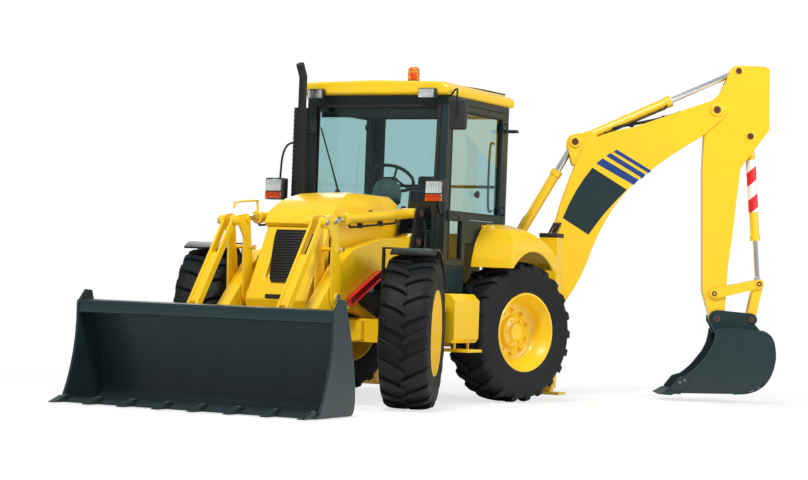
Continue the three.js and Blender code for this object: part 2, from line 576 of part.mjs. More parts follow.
const EXHAUST = [-640, -250];
function exhaustSolid() {
  const [x, y] = EXHAUST;
  const pipe = bar([x, y, 1500], [x, y, 2960], 38, 20);
  const guard = bar([x, y, 1740], [x, y, 2660], 72, 20);
  const tip = bar([x, y, 2950], [x, y - 70, 3060], 38, 20);
  const silencer = bar([x, y, 1430], [x, y, 1745], 62, 16);
  const bracket = box(x - 20, x + 20, y, CAB_FRONT - FIT, 2420, 2450);
  const lower = box(x - 20, x + 20, y, CAB_FRONT - FIT, 1520, 1560);
  return join(pipe, guard, tip, silencer, bracket, lower);
}
addNode('exhaust_stack', exhaustSolid(), BLACK);

// ---------------------------------------------------------------- rear frame and stabilisers
function rearFrameSolid() {
  const y0 = SLIDE_Y - SLIDE_DEPTH / 2;
  const y1 = SLIDE_Y + SLIDE_DEPTH / 2;
  const inner = LEG_X - LEG_TUBE / 2 + 5;
  const rails = [SLIDE_LOW, SLIDE_HIGH - SLIDE_RAIL].map((z) => box(-inner, inner, y0, y1, z,
    z + SLIDE_RAIL));
  const posts = [-620, 620].map((x) => box(x - 60, x + 60, y0 + 10, y0 + 50, SLIDE_LOW + 20,
    SLIDE_HIGH - 20));
  const tubes = SIDES.map(([, sign]) => box(sign * LEG_X - LEG_TUBE / 2, sign * LEG_X + LEG_TUBE / 2,
    SLIDE_Y - LEG_TUBE / 2 + 20, SLIDE_Y + LEG_TUBE / 2 - 20, LEG_TUBE_BOTTOM, LEG_TOP));
  const bores = SIDES.map(([, sign]) => box(
    sign * LEG_X - LEG_TUBE / 2 + LEG_WALL, sign * LEG_X + LEG_TUBE / 2 - LEG_WALL,
    SLIDE_Y - LEG_TUBE / 2 + 20 + LEG_WALL, SLIDE_Y + LEG_TUBE / 2 - 20 - LEG_WALL, LEG_TUBE_BOTTOM - 5,
      LEG_TOP - 30));
  return cut(join(rails, posts, tubes), bores);
}
addNode('rear_frame', rearFrameSolid(), YELLOW);

function legSolid(sign) {
  const gap = FIT;
  const x = LEG_TUBE / 2 - LEG_WALL - gap;
  const y = LEG_TUBE / 2 - 20 - LEG_WALL - gap;
  const leg = box(sign * LEG_X - x, sign * LEG_X + x, SLIDE_Y - y, SLIDE_Y + y, FOOT_CLEARANCE + 60,
    LEG_TOP - 200);
  const ankle = box(sign * LEG_X - 60, sign * LEG_X + 60, SLIDE_Y - 45, SLIDE_Y + 45, FOOT_CLEARANCE + 10,
    FOOT_CLEARANCE + 70);
  const foot = box(sign * LEG_X - 170, sign * LEG_X + 170, SLIDE_Y - 100, SLIDE_Y + 100, FOOT_CLEARANCE,
    FOOT_CLEARANCE + 25);
  return join(leg, ankle, foot);
}
for (const [side, sign] of SIDES) addNode(`${side}_stabiliser_leg`, legSolid(sign), YELLOW);

// ---------------------------------------------------------------- cylinders
// A cylinder lies in a [y, z] plane at lateral position x, from its base pin to its rod's eye.
function barrelSolid({ base, eye, x, outer, rod, length, eyeRadius, eyeWidth, fork = 0, neck = 12 }) {
  const at = (d) => { const [y, z] = along(base, eye, d); return [x, y, z]; };
  const tube = bar(at(eyeRadius + neck), at(length), outer, 16);
  const gland = bar(at(length - 60), at(length), outer + 8, 16);
  const bore = bar(at(eyeRadius + neck + 18), at(length + 5), rod + ROD_CLEARANCE, 12);
  const lug = fork
    ? join([-1, 1].map((s) => plate(linkOutline(base, along(base, eye, eyeRadius + neck + 10), eyeRadius),
      s > 0 ? x + fork : x - eyeWidth / 2, s > 0 ? x + eyeWidth / 2 : x - fork)))
    : plate(linkOutline(base, along(base, eye, eyeRadius + 10), eyeRadius), x - eyeWidth / 2,
      x + eyeWidth / 2);
  return cut(join(tube, gland, lug), bore);
}

function rodSolid({ base, eye, x, rod, rodStart, rodEye, rodEyeWidth, rodStop = rodEye / 2 }) {
  const total = between(base, eye);
  const at = (d) => { const [y, z] = along(base, eye, d); return [x, y, z]; };
  const rodBar = bar(at(rodStart), at(total - rodStop), rod, 12);
  const end = plate(linkOutline(eye, along(eye, base, rodEye + 8), rodEye, rodEye * 0.75),
    x - rodEyeWidth / 2, x + rodEyeWidth / 2);
  return join(rodBar, end);
}

// ---------------------------------------------------------------- loader
const LEVER_INNER = ARM_WIDTH / 2 + RUN;
const LINK_OUTER = LEVER_INNER - FIT;
const LINK_INNER = 30;
const EYE_ROOM = 30;              // half the slot for the lift rod's eye

function armsSolid() {
  const shape = [
    [-60, 1380], [-15, 1420], [-10, 1470], [-50, 1518], [-100, 1530], [-200, 1500], [-300, 1482],
    [-700, 1466], [-1250, 1352], [-1400, 1272],
    [-1480, 1200], [-2372, 345], [-2405, 280], [-2385, 215], [-2330, 195], [-2250, 215], [-1460, 820],
    [-800, 1130], [-300, 1370],
  ];
  const pocket = box(-EYE_ROOM, EYE_ROOM, LIFT_EYE[0] - 130, LIFT_EYE[0] + 130, 700, LIFT_EYE[1] + 110);
  const ears = [-1, 1].map((s) => plate(
    linkOutline(LIFT_EYE, [LIFT_EYE[0], LIFT_EYE[1] + 90], 62, 95), s > 0 ? EYE_ROOM : -58,
      s > 0 ? 58 : -EYE_ROOM));
  const blade = cut(join(plate(shape, -ARM_WIDTH / 2, ARM_WIDTH / 2), ears), pocket);
  const bosses = [[LIFT_PIVOT, 66], [LEVER_FOOT, 60], [BUCKET_PIN, 60]].map(([at, radius]) =>
    pin(at, radius, -ARM_WIDTH / 2 - RUN + FIT, ARM_WIDTH / 2 + RUN - FIT, 16));
  const arm = join(blade, bosses);
  const arms = SIDES.map(([, sign]) => arm.translate(sign * ARM_X, 0, 0));
  const crossTube = pin([-2060, 560], 62, -ARM_X, ARM_X, 20);
  return join(arms, crossTube);
}
addNode('loader_arms', armsSolid(), YELLOW);

// A lever is a pair of plates that straddle the arm, tied by a spacer above it.
function leverSolid() {
  const cheek = join(
    plate(linkOutline(LEVER_FOOT, LEVER_ROD_PIN, 88, 46), LEVER_INNER, LEVER_INNER + LEVER_PLATE),
    plate(linkOutline(LEVER_LINK_PIN, LEVER_ROD_PIN, 46, 46), LEVER_INNER, LEVER_INNER + LEVER_PLATE),
    plate([LEVER_LINK_PIN, [LEVER_SPACER[0] - 60, LEVER_SPACER[1] + 10], LEVER_ROD_PIN], LEVER_INNER,
      LEVER_INNER + LEVER_PLATE),
    [[LEVER_FOOT, 44], [LEVER_ROD_PIN, 28], [LEVER_LINK_PIN, 26]].map(([at, radius]) =>
      pin(at, radius, LEVER_INNER + LEVER_PLATE - 2, LEVER_INNER + LEVER_PLATE + 12)));
  const mirrored = cheek.mirror([1, 0, 0]);
  const spacer = pin(LEVER_SPACER, 16, -LEVER_INNER - LEVER_PLATE - 10, LEVER_INNER + LEVER_PLATE + 10);
  return join(cheek, mirrored, spacer);
}

// A link is two rails with an open groove between them, tied near its middle and its foot.
function linkSolid() {
  const rail = join(
    plate(linkOutline(LEVER_LINK_PIN, BUCKET_HORN, 32), LINK_INNER, LINK_INNER + 22),
    pin(LEVER_LINK_PIN, 46, LINK_INNER, LINK_OUTER, 20),
    pin(BUCKET_HORN, 40, LINK_INNER, LINK_OUTER, 20));
  const tieShape = linkOutline(along(LEVER_LINK_PIN, BUCKET_HORN, 360),
    along(LEVER_LINK_PIN, BUCKET_HORN, 860), 18);
  return join(rail, rail.mirror([1, 0, 0]), plate(tieShape, -LINK_INNER - 1, LINK_INNER + 1));
}

const tiltCylinder = { base: TILT_BASE, eye: LEVER_ROD_PIN, x: 0, outer: 46, rod: 24, length: 1290,
  eyeRadius: 46,
  eyeWidth: 2 * (ARM_WIDTH / 2 + RUN - FIT), rodStart: 520, rodEye: 40, rodEyeWidth: 2 * LINK_INNER - 4 };
const liftCylinder = { base: LIFT_BASE, eye: LIFT_EYE, x: 0, outer: 52, rod: 28, length: 1085, eyeRadius: 52,
  eyeWidth: 2 * (ARM_WIDTH / 2 + RUN - FIT), rodStart: 130, rodEye: 46, rodEyeWidth: 2 * (EYE_ROOM - FIT) };

for (const [side, sign] of SIDES) {
  const row = new THREE.Group();
  row.position.x = sign * ARM_X;
  machine.add(row);
  addNode(`${side}_tilt_lever`, leverSolid(), YELLOW, row);
  addNode(`${side}_tilt_link`, linkSolid(), YELLOW, row);
  addNode(`${side}_tilt_barrel`, barrelSolid(tiltCylinder), YELLOW, row);
  addNode(`${side}_tilt_rod`, rodSolid(tiltCylinder), CHROME, row);
  addNode(`${side}_lift_barrel`, barrelSolid(liftCylinder), YELLOW, row);
  addNode(`${side}_lift_rod`, rodSolid(liftCylinder), CHROME, row);
}

function bucketSolid() {
  const w = BUCKET_WALL;
  const half = BUCKET_WIDTH / 2;
  const low = 12;
  const outer = new THREE.Shape();
  outer.moveTo(BUCKET_EDGE_Y, low);
  outer.lineTo(BUCKET_HEEL_Y - 60, low);
  outer.quadraticCurveTo(BUCKET_HEEL_Y + 20, low + 4, BUCKET_HEEL_Y + 12, low + 160);
  outer.quadraticCurveTo(BUCKET_HEEL_Y - 5, low + 420, -2645, BUCKET_HEIGHT - 70);
  outer.lineTo(-2690, BUCKET_HEIGHT);
  outer.lineTo(-2880, BUCKET_HEIGHT - 8);
  outer.lineTo(-2880, BUCKET_HEIGHT - 30);
  outer.lineTo(-2705, BUCKET_HEIGHT - w - 8);
  outer.lineTo(-2668, BUCKET_HEIGHT - 82);
  outer.quadraticCurveTo(BUCKET_HEEL_Y - 5 - w, low + 420, BUCKET_HEEL_Y + 12 - w, low + 165);
  outer.quadraticCurveTo(BUCKET_HEEL_Y + 16 - w, low + w + 4, BUCKET_HEEL_Y - 75, low + w);
  outer.lineTo(BUCKET_EDGE_Y, low + w);
  const shell = plate(outer, -half, half, 6);
  const sideShape = new THREE.Shape();
  sideShape.moveTo(BUCKET_EDGE_Y + 20, low);
  sideShape.lineTo(BUCKET_HEEL_Y - 60, low);
  sideShape.quadraticCurveTo(BUCKET_HEEL_Y + 20, low + 4, BUCKET_HEEL_Y + 12, low + 160);
  sideShape.quadraticCurveTo(BUCKET_HEEL_Y - 5, low + 420, -2645, BUCKET_HEIGHT - 70);
  sideShape.lineTo(-2700, BUCKET_HEIGHT + 75);
  sideShape.lineTo(-2780, BUCKET_HEIGHT + 80);
  sideShape.lineTo(-2885, BUCKET_HEIGHT - 30);
  sideShape.quadraticCurveTo(-2860, low + 380, BUCKET_EDGE_Y + 20, low + 30);
  const cheeks = [-half, half - w].map((x) => plate(sideShape, x, x + w, 6));
  const edge = plate([[BUCKET_EDGE_Y - 60, low - 2], [BUCKET_EDGE_Y + 180, low - 2],
    [BUCKET_EDGE_Y + 180, low + 30],
    [BUCKET_EDGE_Y + 20, low + 30]], -half, half);
  const teeth = [...Array(BUCKET_TEETH).keys()].map((i) => {
    const x = -half + 55 + i * (BUCKET_WIDTH - 110) / (BUCKET_TEETH - 1);
    return plate([[BUCKET_EDGE_Y - BUCKET_TOOTH, low - 2], [BUCKET_EDGE_Y + 30, low - 2],
      [BUCKET_EDGE_Y + 30, low + 52],
      [BUCKET_EDGE_Y - 40, low + 52]], x - 32, x + 32);
  });
  const ear = plate([[-2498, 180], [-2380, 215], [-2270, 240], [-2262, 300], [-2300, 345], [-2385, 640],
    [-2400, 712], [-2450, 722], [-2619, 700], [-2577, 565], [-2543, 454], [-2514, 307]], 0, 22);
  const ears = SIDES.flatMap(([, sign]) => [-LEVER_INNER - 22, LEVER_INNER].map((x) =>
    ear.translate(sign * ARM_X + x, 0, 0)));
  return join(shell, cheeks, edge, teeth, ears);
}
addNode('loader_bucket', bucketSolid(), SLATE);

// ---------------------------------------------------------------- backhoe
const carriageFront = SLIDE_Y + SLIDE_DEPTH / 2 + FIT;
const LUG_LOW = [480, 540];
const LUG_HIGH = [1000, 1055];

function carriageSolid() {
  const width = 330;
  const back = box(-width, width, carriageFront, carriageFront + 60, SLIDE_LOW - 60, SLIDE_HIGH + 60);
  const hooks = [[SLIDE_HIGH + FIT, SLIDE_HIGH + 60], [SLIDE_LOW - 60, SLIDE_LOW - FIT]].map(([z0, z1]) =>
    box(-width, width, SLIDE_Y - SLIDE_DEPTH / 2, carriageFront + 10, z0, z1));
  const lugs = [LUG_LOW, LUG_HIGH].map(([z0, z1]) => join(
    sheet([[-150, carriageFront + 30], [150, carriageFront + 30], [105, SWING_Y], [-105, SWING_Y]], z0, z1),
    bar([0, SWING_Y, z0], [0, SWING_Y, z1], 105, 28)));
  const webs = [-140, 140].map((x) => box(x - 14, x + 14, carriageFront + 50, carriageFront + 190,
    LUG_LOW[1] - 10,
    LUG_HIGH[0] + 10));
  const bores = bar([0, SWING_Y, 400], [0, SWING_Y, 1200], TRUNNION_RADIUS + 3 * FIT, 24);
  return cut(join(back, hooks, lugs, webs), bores);
}
addNode('slide_carriage', carriageSolid(), YELLOW);

const hoe = new THREE.Group();
hoe.position.y = SWING_Y;
hoe.rotation.z = THREE.MathUtils.degToRad(SWING_REST);
machine.add(hoe);

const POST_HALF = 74;
const POST_SLOT = 54;
function postSolid() {
  const barrel = bar([0, 0, LUG_LOW[1] + FIT], [0, 0, LUG_HIGH[0] - FIT], POST_RADIUS, 28);
  const trunnions = bar([0, 0, LUG_LOW[0] - 10], [0, 0, LUG_HIGH[1] + 8], TRUNNION_RADIUS, 24);
  const foot = join(
    plate([[40, LUG_LOW[1] + 10], [BOOM_FOOT[0], BOOM_FOOT[1] - 78], [BOOM_FOOT[0], BOOM_FOOT[1] + 78],
      [300, 800], [40, 960]], -POST_HALF, POST_HALF),
    pin(BOOM_FOOT, 78, -POST_HALF, POST_HALF, 24));
  const horns = [-1, 1].map((s) => plate([[124, 800], [300, 790], [250, 960], [188, 1135],
    [165, 1180], [130, 1192], [95, 1180], [74, 1140], [74, LUG_HIGH[1] + 10], [124, LUG_HIGH[1] + 6]],
    s > 0 ? POST_SLOT : -POST_HALF, s > 0 ? POST_HALF : -POST_SLOT));
  return join(barrel, trunnions, foot, horns);
}
addNode('swing_post', postSolid(), YELLOW, hoe);

const KNEE_ROOM = 66;
function boomSolid() {
  const half = BOOM_WIDTH / 2;
  const [py, pz] = DIPPER_PIVOT;
  const shape = new THREE.Shape();
  shape.moveTo(BOOM_FOOT[0] + 95, BOOM_FOOT[1] - 55);
  shape.quadraticCurveTo(940, 960, 1081, 1341);
  shape.quadraticCurveTo(1230, 1830, 1484, 2122);
  shape.quadraticCurveTo(1760, 2400, 2200, 2673);
  shape.lineTo(py + 60, pz - 88);
  shape.lineTo(py + 106, pz - 20);
  shape.lineTo(py + 96, pz + 46);
  shape.lineTo(py + 40, pz + 98);
  shape.lineTo(py - 60, pz + 92);
  shape.lineTo(1500, 2745);
  shape.quadraticCurveTo(1200, 2690, 1020, 2560);
  shape.quadraticCurveTo(820, 2100, 690, 1500);
  shape.lineTo(600, 1130);
  shape.lineTo(BOOM_FOOT[0] - 20, BOOM_FOOT[1] + 108);
  shape.lineTo(BOOM_FOOT[0] - 92, BOOM_FOOT[1] + 56);
  shape.lineTo(BOOM_FOOT[0] - 106, BOOM_FOOT[1] - 14);
  shape.lineTo(BOOM_FOOT[0] - 72, BOOM_FOOT[1] - 80);
  shape.lineTo(BOOM_FOOT[0], BOOM_FOOT[1] - 108);
  shape.closePath();
  const body = plate(shape, -half, half, 6);
  const footSlot = plate([[BOOM_FOOT[0] - 260, BOOM_FOOT[1] - 160], [BOOM_FOOT[0] + 160, BOOM_FOOT[1] - 160],
    [BOOM_FOOT[0] + 190, BOOM_FOOT[1] + 60], [BOOM_FOOT[0] + 200, BOOM_FOOT[1] + 330],
    [BOOM_FOOT[0] - 260, BOOM_FOOT[1] + 330]], -POST_HALF - FIT, POST_HALF + FIT);
  const tipSlot = plate([[py - 540, pz + 200], [py - 540, pz - 20], [py - 380, pz - 190],
    [py - 250, pz - 420],
    [py + 300, pz - 420], [py + 300, pz + 200]], -DIPPER_WIDTH / 2 - FIT, DIPPER_WIDTH / 2 + FIT);
  const ears = [-1, 1].map((s) => plate([[KNEE[0] - 78, KNEE[1] + 10], [KNEE[0] - 50, KNEE[1] + 66],
    [KNEE[0] + 10, KNEE[1] + 84], [KNEE[0] + 220, KNEE[1] + 110], [KNEE[0] + 220, KNEE[1] - 200],
    [KNEE[0] - 20, KNEE[1] - 240], [KNEE[0] - 80, KNEE[1] - 40]], s > 0 ? KNEE_ROOM : -KNEE_ROOM - 24,
    s > 0 ? KNEE_ROOM + 24 : -KNEE_ROOM));
  // a channel down the boom's upper edge, open to the cylinder
  const knuckleRoom = plate([[560, 1330], [820, 1500], [990, 1790], [1140, 2080], [1230, 2330],
    [KNEE[0] + 330, KNEE[1] - 90], [KNEE[0] + 600, KNEE[1] + 150], [KNEE[0] + 600, KNEE[1] + 420],
    [KNEE[0] - 250, KNEE[1] + 420], [560, 2000]], -KNEE_ROOM, KNEE_ROOM);
  const bosses = [[BOOM_FOOT, 62, half], [DIPPER_PIVOT, 70, half]].map(([at, radius, reach]) => join(
    pin(at, radius, reach - 4, reach + 14, 24), pin(at, radius, -reach - 14, -reach + 4, 24)));
  const kneeBosses = join(pin(KNEE, 56, KNEE_ROOM + 20, KNEE_ROOM + 38, 24),
    pin(KNEE, 56, -KNEE_ROOM - 38, -KNEE_ROOM - 20, 24));
  return cut(join(body, ears, bosses, kneeBosses), footSlot, tipSlot, knuckleRoom);
}
addNode('boom', boomSolid(), YELLOW, hoe);

const DIPPER_SLOT = 56;
const TAIL_ROOM = 38;
function dipperSolid() {
  const half = DIPPER_WIDTH / 2;
  const body = plate([[2240, 2900], [2262, 3010], [2385, 3130], [2480, 3370], [2510, 3408], [2553, 3413],
    [2822, 3414], [2873, 3390], [2890, 2770], [2610, 2370], [2548, 1650], [2520, 1400], [2500, 900],
    [2490, 830], [2462, 790],
    [2420, 775], [2376, 790], [2352, 840], [2340, 890], [2272, 1108], [2228, 2347]], -half, half);
  const [hy, hz] = HOE_CYLINDER_BASE;
  const pocket = plate([[hy - 90, hz + 60], [hy - 40, hz + 100], [hy + 60, hz + 100], [hy + 400, hz + 40],
    [hy + 400, hz - 500], [hy - 130, hz - 500], [hy - 130, hz - 150]], -DIPPER_SLOT, DIPPER_SLOT);
  const [ty, tz] = DIPPER_TAIL;
  const tail = plate([[ty - 320, tz - 300], [ty - 60, tz - 190], [ty + 150, tz - 120], [ty + 150, tz + 120],
    [ty - 320, tz + 120]], -TAIL_ROOM, TAIL_ROOM);
  const leverSeat = join(pin(HOE_LEVER_PIN, 46, -half - 8, half + 8, 20),
    pin(HOE_PIN, 56, -half - 8, half + 8, 20));
  return join(cut(body, pocket, tail), leverSeat);
}
addNode('dipper', dipperSolid(), YELLOW, hoe);

const HOE_CHEEK = DIPPER_WIDTH / 2 + 8 + FIT;
const HOE_PLATE = 22;
const HOE_RAIL = 42;

function bothSides(build) {
  return [-1, 1].map((s) => build((a, b) => (s > 0 ? [a, b] : [-b, -a])));
}

function hoeLeverSolid() {
  const cheeks = bothSides((span) => join(
    plate(linkOutline(HOE_LEVER_PIN, HOE_LEVER_END, 52, 44), ...span(HOE_CHEEK, HOE_CHEEK + HOE_PLATE)),
    pin(HOE_LEVER_PIN, 36, ...span(HOE_CHEEK + HOE_PLATE - 2, HOE_CHEEK + HOE_PLATE + 14)),
    pin(HOE_LEVER_END, 32, ...span(HOE_CHEEK + HOE_PLATE - 2, HOE_CHEEK + HOE_PLATE + 14))));
  const spacer = pin(along(HOE_LEVER_PIN, HOE_LEVER_END, 345), 14, -HOE_CHEEK - 2, HOE_CHEEK + 2);
  return join(cheeks, spacer);
}
addNode('hoe_lever', hoeLeverSolid(), YELLOW, hoe);

function hoeLinkSolid() {
  const rails = bothSides((span) =>
    plate(linkOutline(HOE_LEVER_END, HOE_HORN, 46, 44), ...span(HOE_RAIL, HOE_CHEEK - FIT)));
  const web = plate(linkOutline(along(HOE_LEVER_END, HOE_HORN, 175), along(HOE_LEVER_END, HOE_HORN, 270), 26),
    -HOE_RAIL - 1, HOE_RAIL + 1);
  return join(rails, web);
}
addNode('hoe_link', hoeLinkSolid(), YELLOW, hoe);

function hoeBucketSolid() {
  const w = HOE_WALL;
  const half = HOE_WIDTH / 2;
  const back = (shape) => {
    shape.lineTo(2600, 92);
    shape.quadraticCurveTo(2950, 110, 3000, 450);
    shape.quadraticCurveTo(3005, 690, 2870, 735);
  };
  const shell = new THREE.Shape();
  shell.moveTo(1940, 78);
  back(shell);
  shell.lineTo(2450, 690);
  shell.lineTo(2452, 690 - w);
  shell.lineTo(2862, 735 - w);
  shell.quadraticCurveTo(3000 - w, 680, 3000 - w, 452);
  shell.quadraticCurveTo(2935, 110 + w, 2598, 92 + w);
  shell.lineTo(1940, 78 + w);
  const cheek = new THREE.Shape();
  cheek.moveTo(1990, 79);
  back(cheek);
  cheek.lineTo(2560, 760);
  cheek.lineTo(2392, 735);
  cheek.quadraticCurveTo(2385, 560, 2280, 438);
  cheek.quadraticCurveTo(2200, 320, 2080, 245);
  cheek.lineTo(2045, 235);
  cheek.lineTo(1975, 140);
  const cheeks = bothSides((span) => plate(cheek, ...span(half - w, half), 6));
  const ear = bothSides((span) => join(
    plate(linkOutline(HOE_PIN, HOE_HORN, 86, 62), ...span(HOE_CHEEK, HOE_CHEEK + HOE_PLATE)),
    plate([[2360, 780], [2400, 700], [2450, 680], [2872, 720], [2800, 800]],
      ...span(HOE_CHEEK, HOE_CHEEK + HOE_PLATE)),
    pin(HOE_PIN, 48, ...span(HOE_CHEEK + HOE_PLATE - 2, HOE_CHEEK + HOE_PLATE + 16)),
    pin(HOE_HORN, 36, ...span(HOE_CHEEK + HOE_PLATE - 2, HOE_CHEEK + HOE_PLATE + 16))));
  const edge = plate([[1905, 70], [2060, 70], [2060, 108], [1950, 108]], -half, half);
  const teeth = [0, 1, 2, 3, 4].map((i) => {
    const x = -half + 36 + i * (HOE_WIDTH - 72) / 4;
    return plate([[1830, 62], [1960, 56], [1990, 66], [1990, 122], [1930, 122]], x - 26, x + 26);
  });
  return join(plate(shell, -half, half, 6), cheeks, ear, edge, teeth);
}
addNode('hoe_bucket', hoeBucketSolid(), SLATE, hoe);

const hoeCylinders = {
  boom: { base: BOOM_CYLINDER_BASE, eye: KNEE, x: 0, outer: 50, rod: 32, length: 1315, eyeRadius: 50,
    eyeWidth: 2 * (POST_SLOT - FIT), rodStart: 400, rodEye: 46, rodEyeWidth: 52,
    rodStop: 64 },
  dipper: { base: KNEE, eye: DIPPER_TAIL, x: 0, outer: 52, rod: 28, length: 1070, eyeRadius: 52,
    eyeWidth: 2 * (KNEE_ROOM - FIT), fork: 36 + FIT, neck: 88, rodStart: 850, rodEye: 42,
      rodEyeWidth: 2 * (TAIL_ROOM - FIT) },
  bucket: { base: HOE_CYLINDER_BASE, eye: HOE_LEVER_END, x: 0, outer: 45, rod: 24, length: 1060,
    eyeRadius: 48,
    eyeWidth: 2 * (DIPPER_SLOT - FIT), rodStart: 500, rodEye: 40, rodEyeWidth: 2 * (HOE_RAIL - FIT) },
};
for (const [name, cylinder] of Object.entries(hoeCylinders)) {
  addNode(`${name}_barrel`, barrelSolid(cylinder), YELLOW, hoe);
  addNode(`${name}_rod`, rodSolid(cylinder), CHROME, hoe);
}

// ---------------------------------------------------------------- origin
// The origin is the middle of the footprint, on the ground.
machine.updateMatrixWorld(true);
const bounds = new THREE.Box3();
machine.traverse((node) => {
  if (node.isMesh) bounds.expandByObject(node, true);
});
const part = new THREE.Group();
part.add(machine);
machine.position.set(-(bounds.min.x + bounds.max.x) / 2, -(bounds.min.y + bounds.max.y) / 2, -bounds.min.z);

export default part;
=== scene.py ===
# %% [markdown]
# # A backhoe loader, finished in Blender
#
# The machine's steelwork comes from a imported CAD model. It is loaded first, as a fixed frame: every body
# of that model moves on its own joint, and each new piece rides on one of those bodies. What is added here
# is what CAD leaves out: softened edges, tyre lugs, glass, lamps, grilles, pins, pipes and the finishes.

# %% Load the frame
import json
from math import atan2, cos, degrees, pi, radians, sin
import bmesh
import bpy
from mathutils import Matrix, Vector


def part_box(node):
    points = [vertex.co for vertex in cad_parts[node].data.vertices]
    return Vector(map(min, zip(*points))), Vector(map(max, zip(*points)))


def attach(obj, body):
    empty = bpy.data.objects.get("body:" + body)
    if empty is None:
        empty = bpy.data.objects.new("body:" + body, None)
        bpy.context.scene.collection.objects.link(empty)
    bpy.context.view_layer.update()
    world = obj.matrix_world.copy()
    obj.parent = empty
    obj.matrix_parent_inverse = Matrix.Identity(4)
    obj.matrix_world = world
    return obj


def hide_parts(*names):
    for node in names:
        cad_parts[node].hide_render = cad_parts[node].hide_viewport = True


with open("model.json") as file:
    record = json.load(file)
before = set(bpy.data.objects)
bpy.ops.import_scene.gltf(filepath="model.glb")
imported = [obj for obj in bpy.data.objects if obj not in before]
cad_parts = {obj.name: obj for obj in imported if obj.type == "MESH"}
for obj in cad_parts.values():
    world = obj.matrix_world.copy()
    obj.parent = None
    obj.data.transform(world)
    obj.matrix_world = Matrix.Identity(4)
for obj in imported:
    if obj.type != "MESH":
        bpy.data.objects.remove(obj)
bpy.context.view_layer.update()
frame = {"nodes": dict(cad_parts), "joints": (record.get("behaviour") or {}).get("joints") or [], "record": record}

body_of_node = {node: body for body, nodes in frame["record"]["behaviour"]["bodies"].items() for node in nodes}

# %% [markdown]
# A vehicle is easiest to think about from its own middle: the centre line between the wheels, half way
# between the axles. The CAD origin is the middle of the whole footprint instead, so a small helper turns
# machine positions, in metres, into CAD ones. The cab sits squarely on the centre line and gives the offset.

# %% Machine positions
cab_low, cab_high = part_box("cab_shell")
MIDDLE = Vector(((cab_low.x + cab_high.x) / 2, cab_low.y - 0.020, 0))


def at(x, y, z):
    return MIDDLE + Vector((x, y, z))


SWING_TURN = radians(-64)
HOE_OUT = Vector((-sin(SWING_TURN), cos(SWING_TURN), 0))
HOE_SIDE = Vector((cos(SWING_TURN), sin(SWING_TURN), 0))


def on_hoe(reach, height, side=0.0):
    """A point of the digging arm: its distance from the swing pin, its height, and how far to one side."""
    return at(0, 2.4, 0) + HOE_OUT * reach + HOE_SIDE * side + Vector((0, 0, height))


print("machine middle in the CAD frame:", [round(v, 3) for v in MIDDLE])

# %% [markdown]
# ## Camera and studio
#
# The machine is seen from its front left, from about twenty metres away and at chest height, with a long
# lens. A long lens keeps the far side of the machine almost as large as the near side.

# %% Camera
camera_azimuth, camera_pitch, camera_roll = radians(26.70), radians(-1.17), radians(2.15)
forward = Vector((-sin(camera_azimuth) * cos(camera_pitch), cos(camera_azimuth) * cos(camera_pitch),
                  -sin(camera_pitch)))
level_right = Vector((cos(camera_azimuth), sin(camera_azimuth), 0))
level_up = level_right.cross(forward)
right = cos(camera_roll) * level_right + sin(camera_roll) * level_up
up = -sin(camera_roll) * level_right + cos(camera_roll) * level_up
camera = bpy.data.objects.new("studio_camera", bpy.data.cameras.new("studio_camera"))
bpy.context.scene.collection.objects.link(camera)
turn = Matrix((right, up, -forward)).transposed().to_4x4()
camera.matrix_world = Matrix.Translation(at(9.18, -17.58, 1.07)) @ turn
SENSOR_WIDTH, LENS_LENGTH = 36, 36 * 2156 / 808
camera.data.sensor_width = SENSOR_WIDTH
camera.data.lens = LENS_LENGTH
camera.data.clip_end = 200
bpy.context.scene.camera = camera
print("lens", round(camera.data.lens, 1), "mm")

# %% [markdown]
# The studio is a plain pale floor and a white surround. Blender's camera rays can be told apart from light
# rays, so the surround looks pure white, straight on or through glass, while it lights the machine at a
# plainer level. Reflections show that plainer level too. The floor is part paint, part glow: the paint keeps
# the soft shadow near the machine, and the glow takes over further out, so that no horizon shows.

# %% World
SURROUND_GLOW, FILL_LIGHT = 1.0, 0.50
bpy.context.scene.view_settings.view_transform = "Standard"
world = bpy.data.worlds.new("white_room")
bpy.context.scene.world = world
world.use_nodes = True
sky = world.node_tree
sky.nodes.clear()
seen = sky.nodes.new("ShaderNodeBackground")
seen.inputs["Color"].default_value = (1, 1, 1, 1)
seen.inputs["Strength"].default_value = SURROUND_GLOW
fill = sky.nodes.new("ShaderNodeBackground")
fill.inputs["Color"].default_value = (0.90, 0.95, 1.0, 1)
fill.inputs["Strength"].default_value = FILL_LIGHT
rays = sky.nodes.new("ShaderNodeLightPath")
either = sky.nodes.new("ShaderNodeMath")
either.operation = "MAXIMUM"
sky.links.new(rays.outputs["Is Camera Ray"], either.inputs[0])
sky.links.new(rays.outputs["Is Transmission Ray"], either.inputs[1])
room = sky.nodes.new("ShaderNodeMixShader")
sky.links.new(either.outputs[0], room.inputs[0])
sky.links.new(fill.outputs[0], room.inputs[1])
sky.links.new(seen.outputs[0], room.inputs[2])
sky.links.new(room.outputs[0], sky.nodes.new("ShaderNodeOutputWorld").inputs["Surface"])
print("world ready")

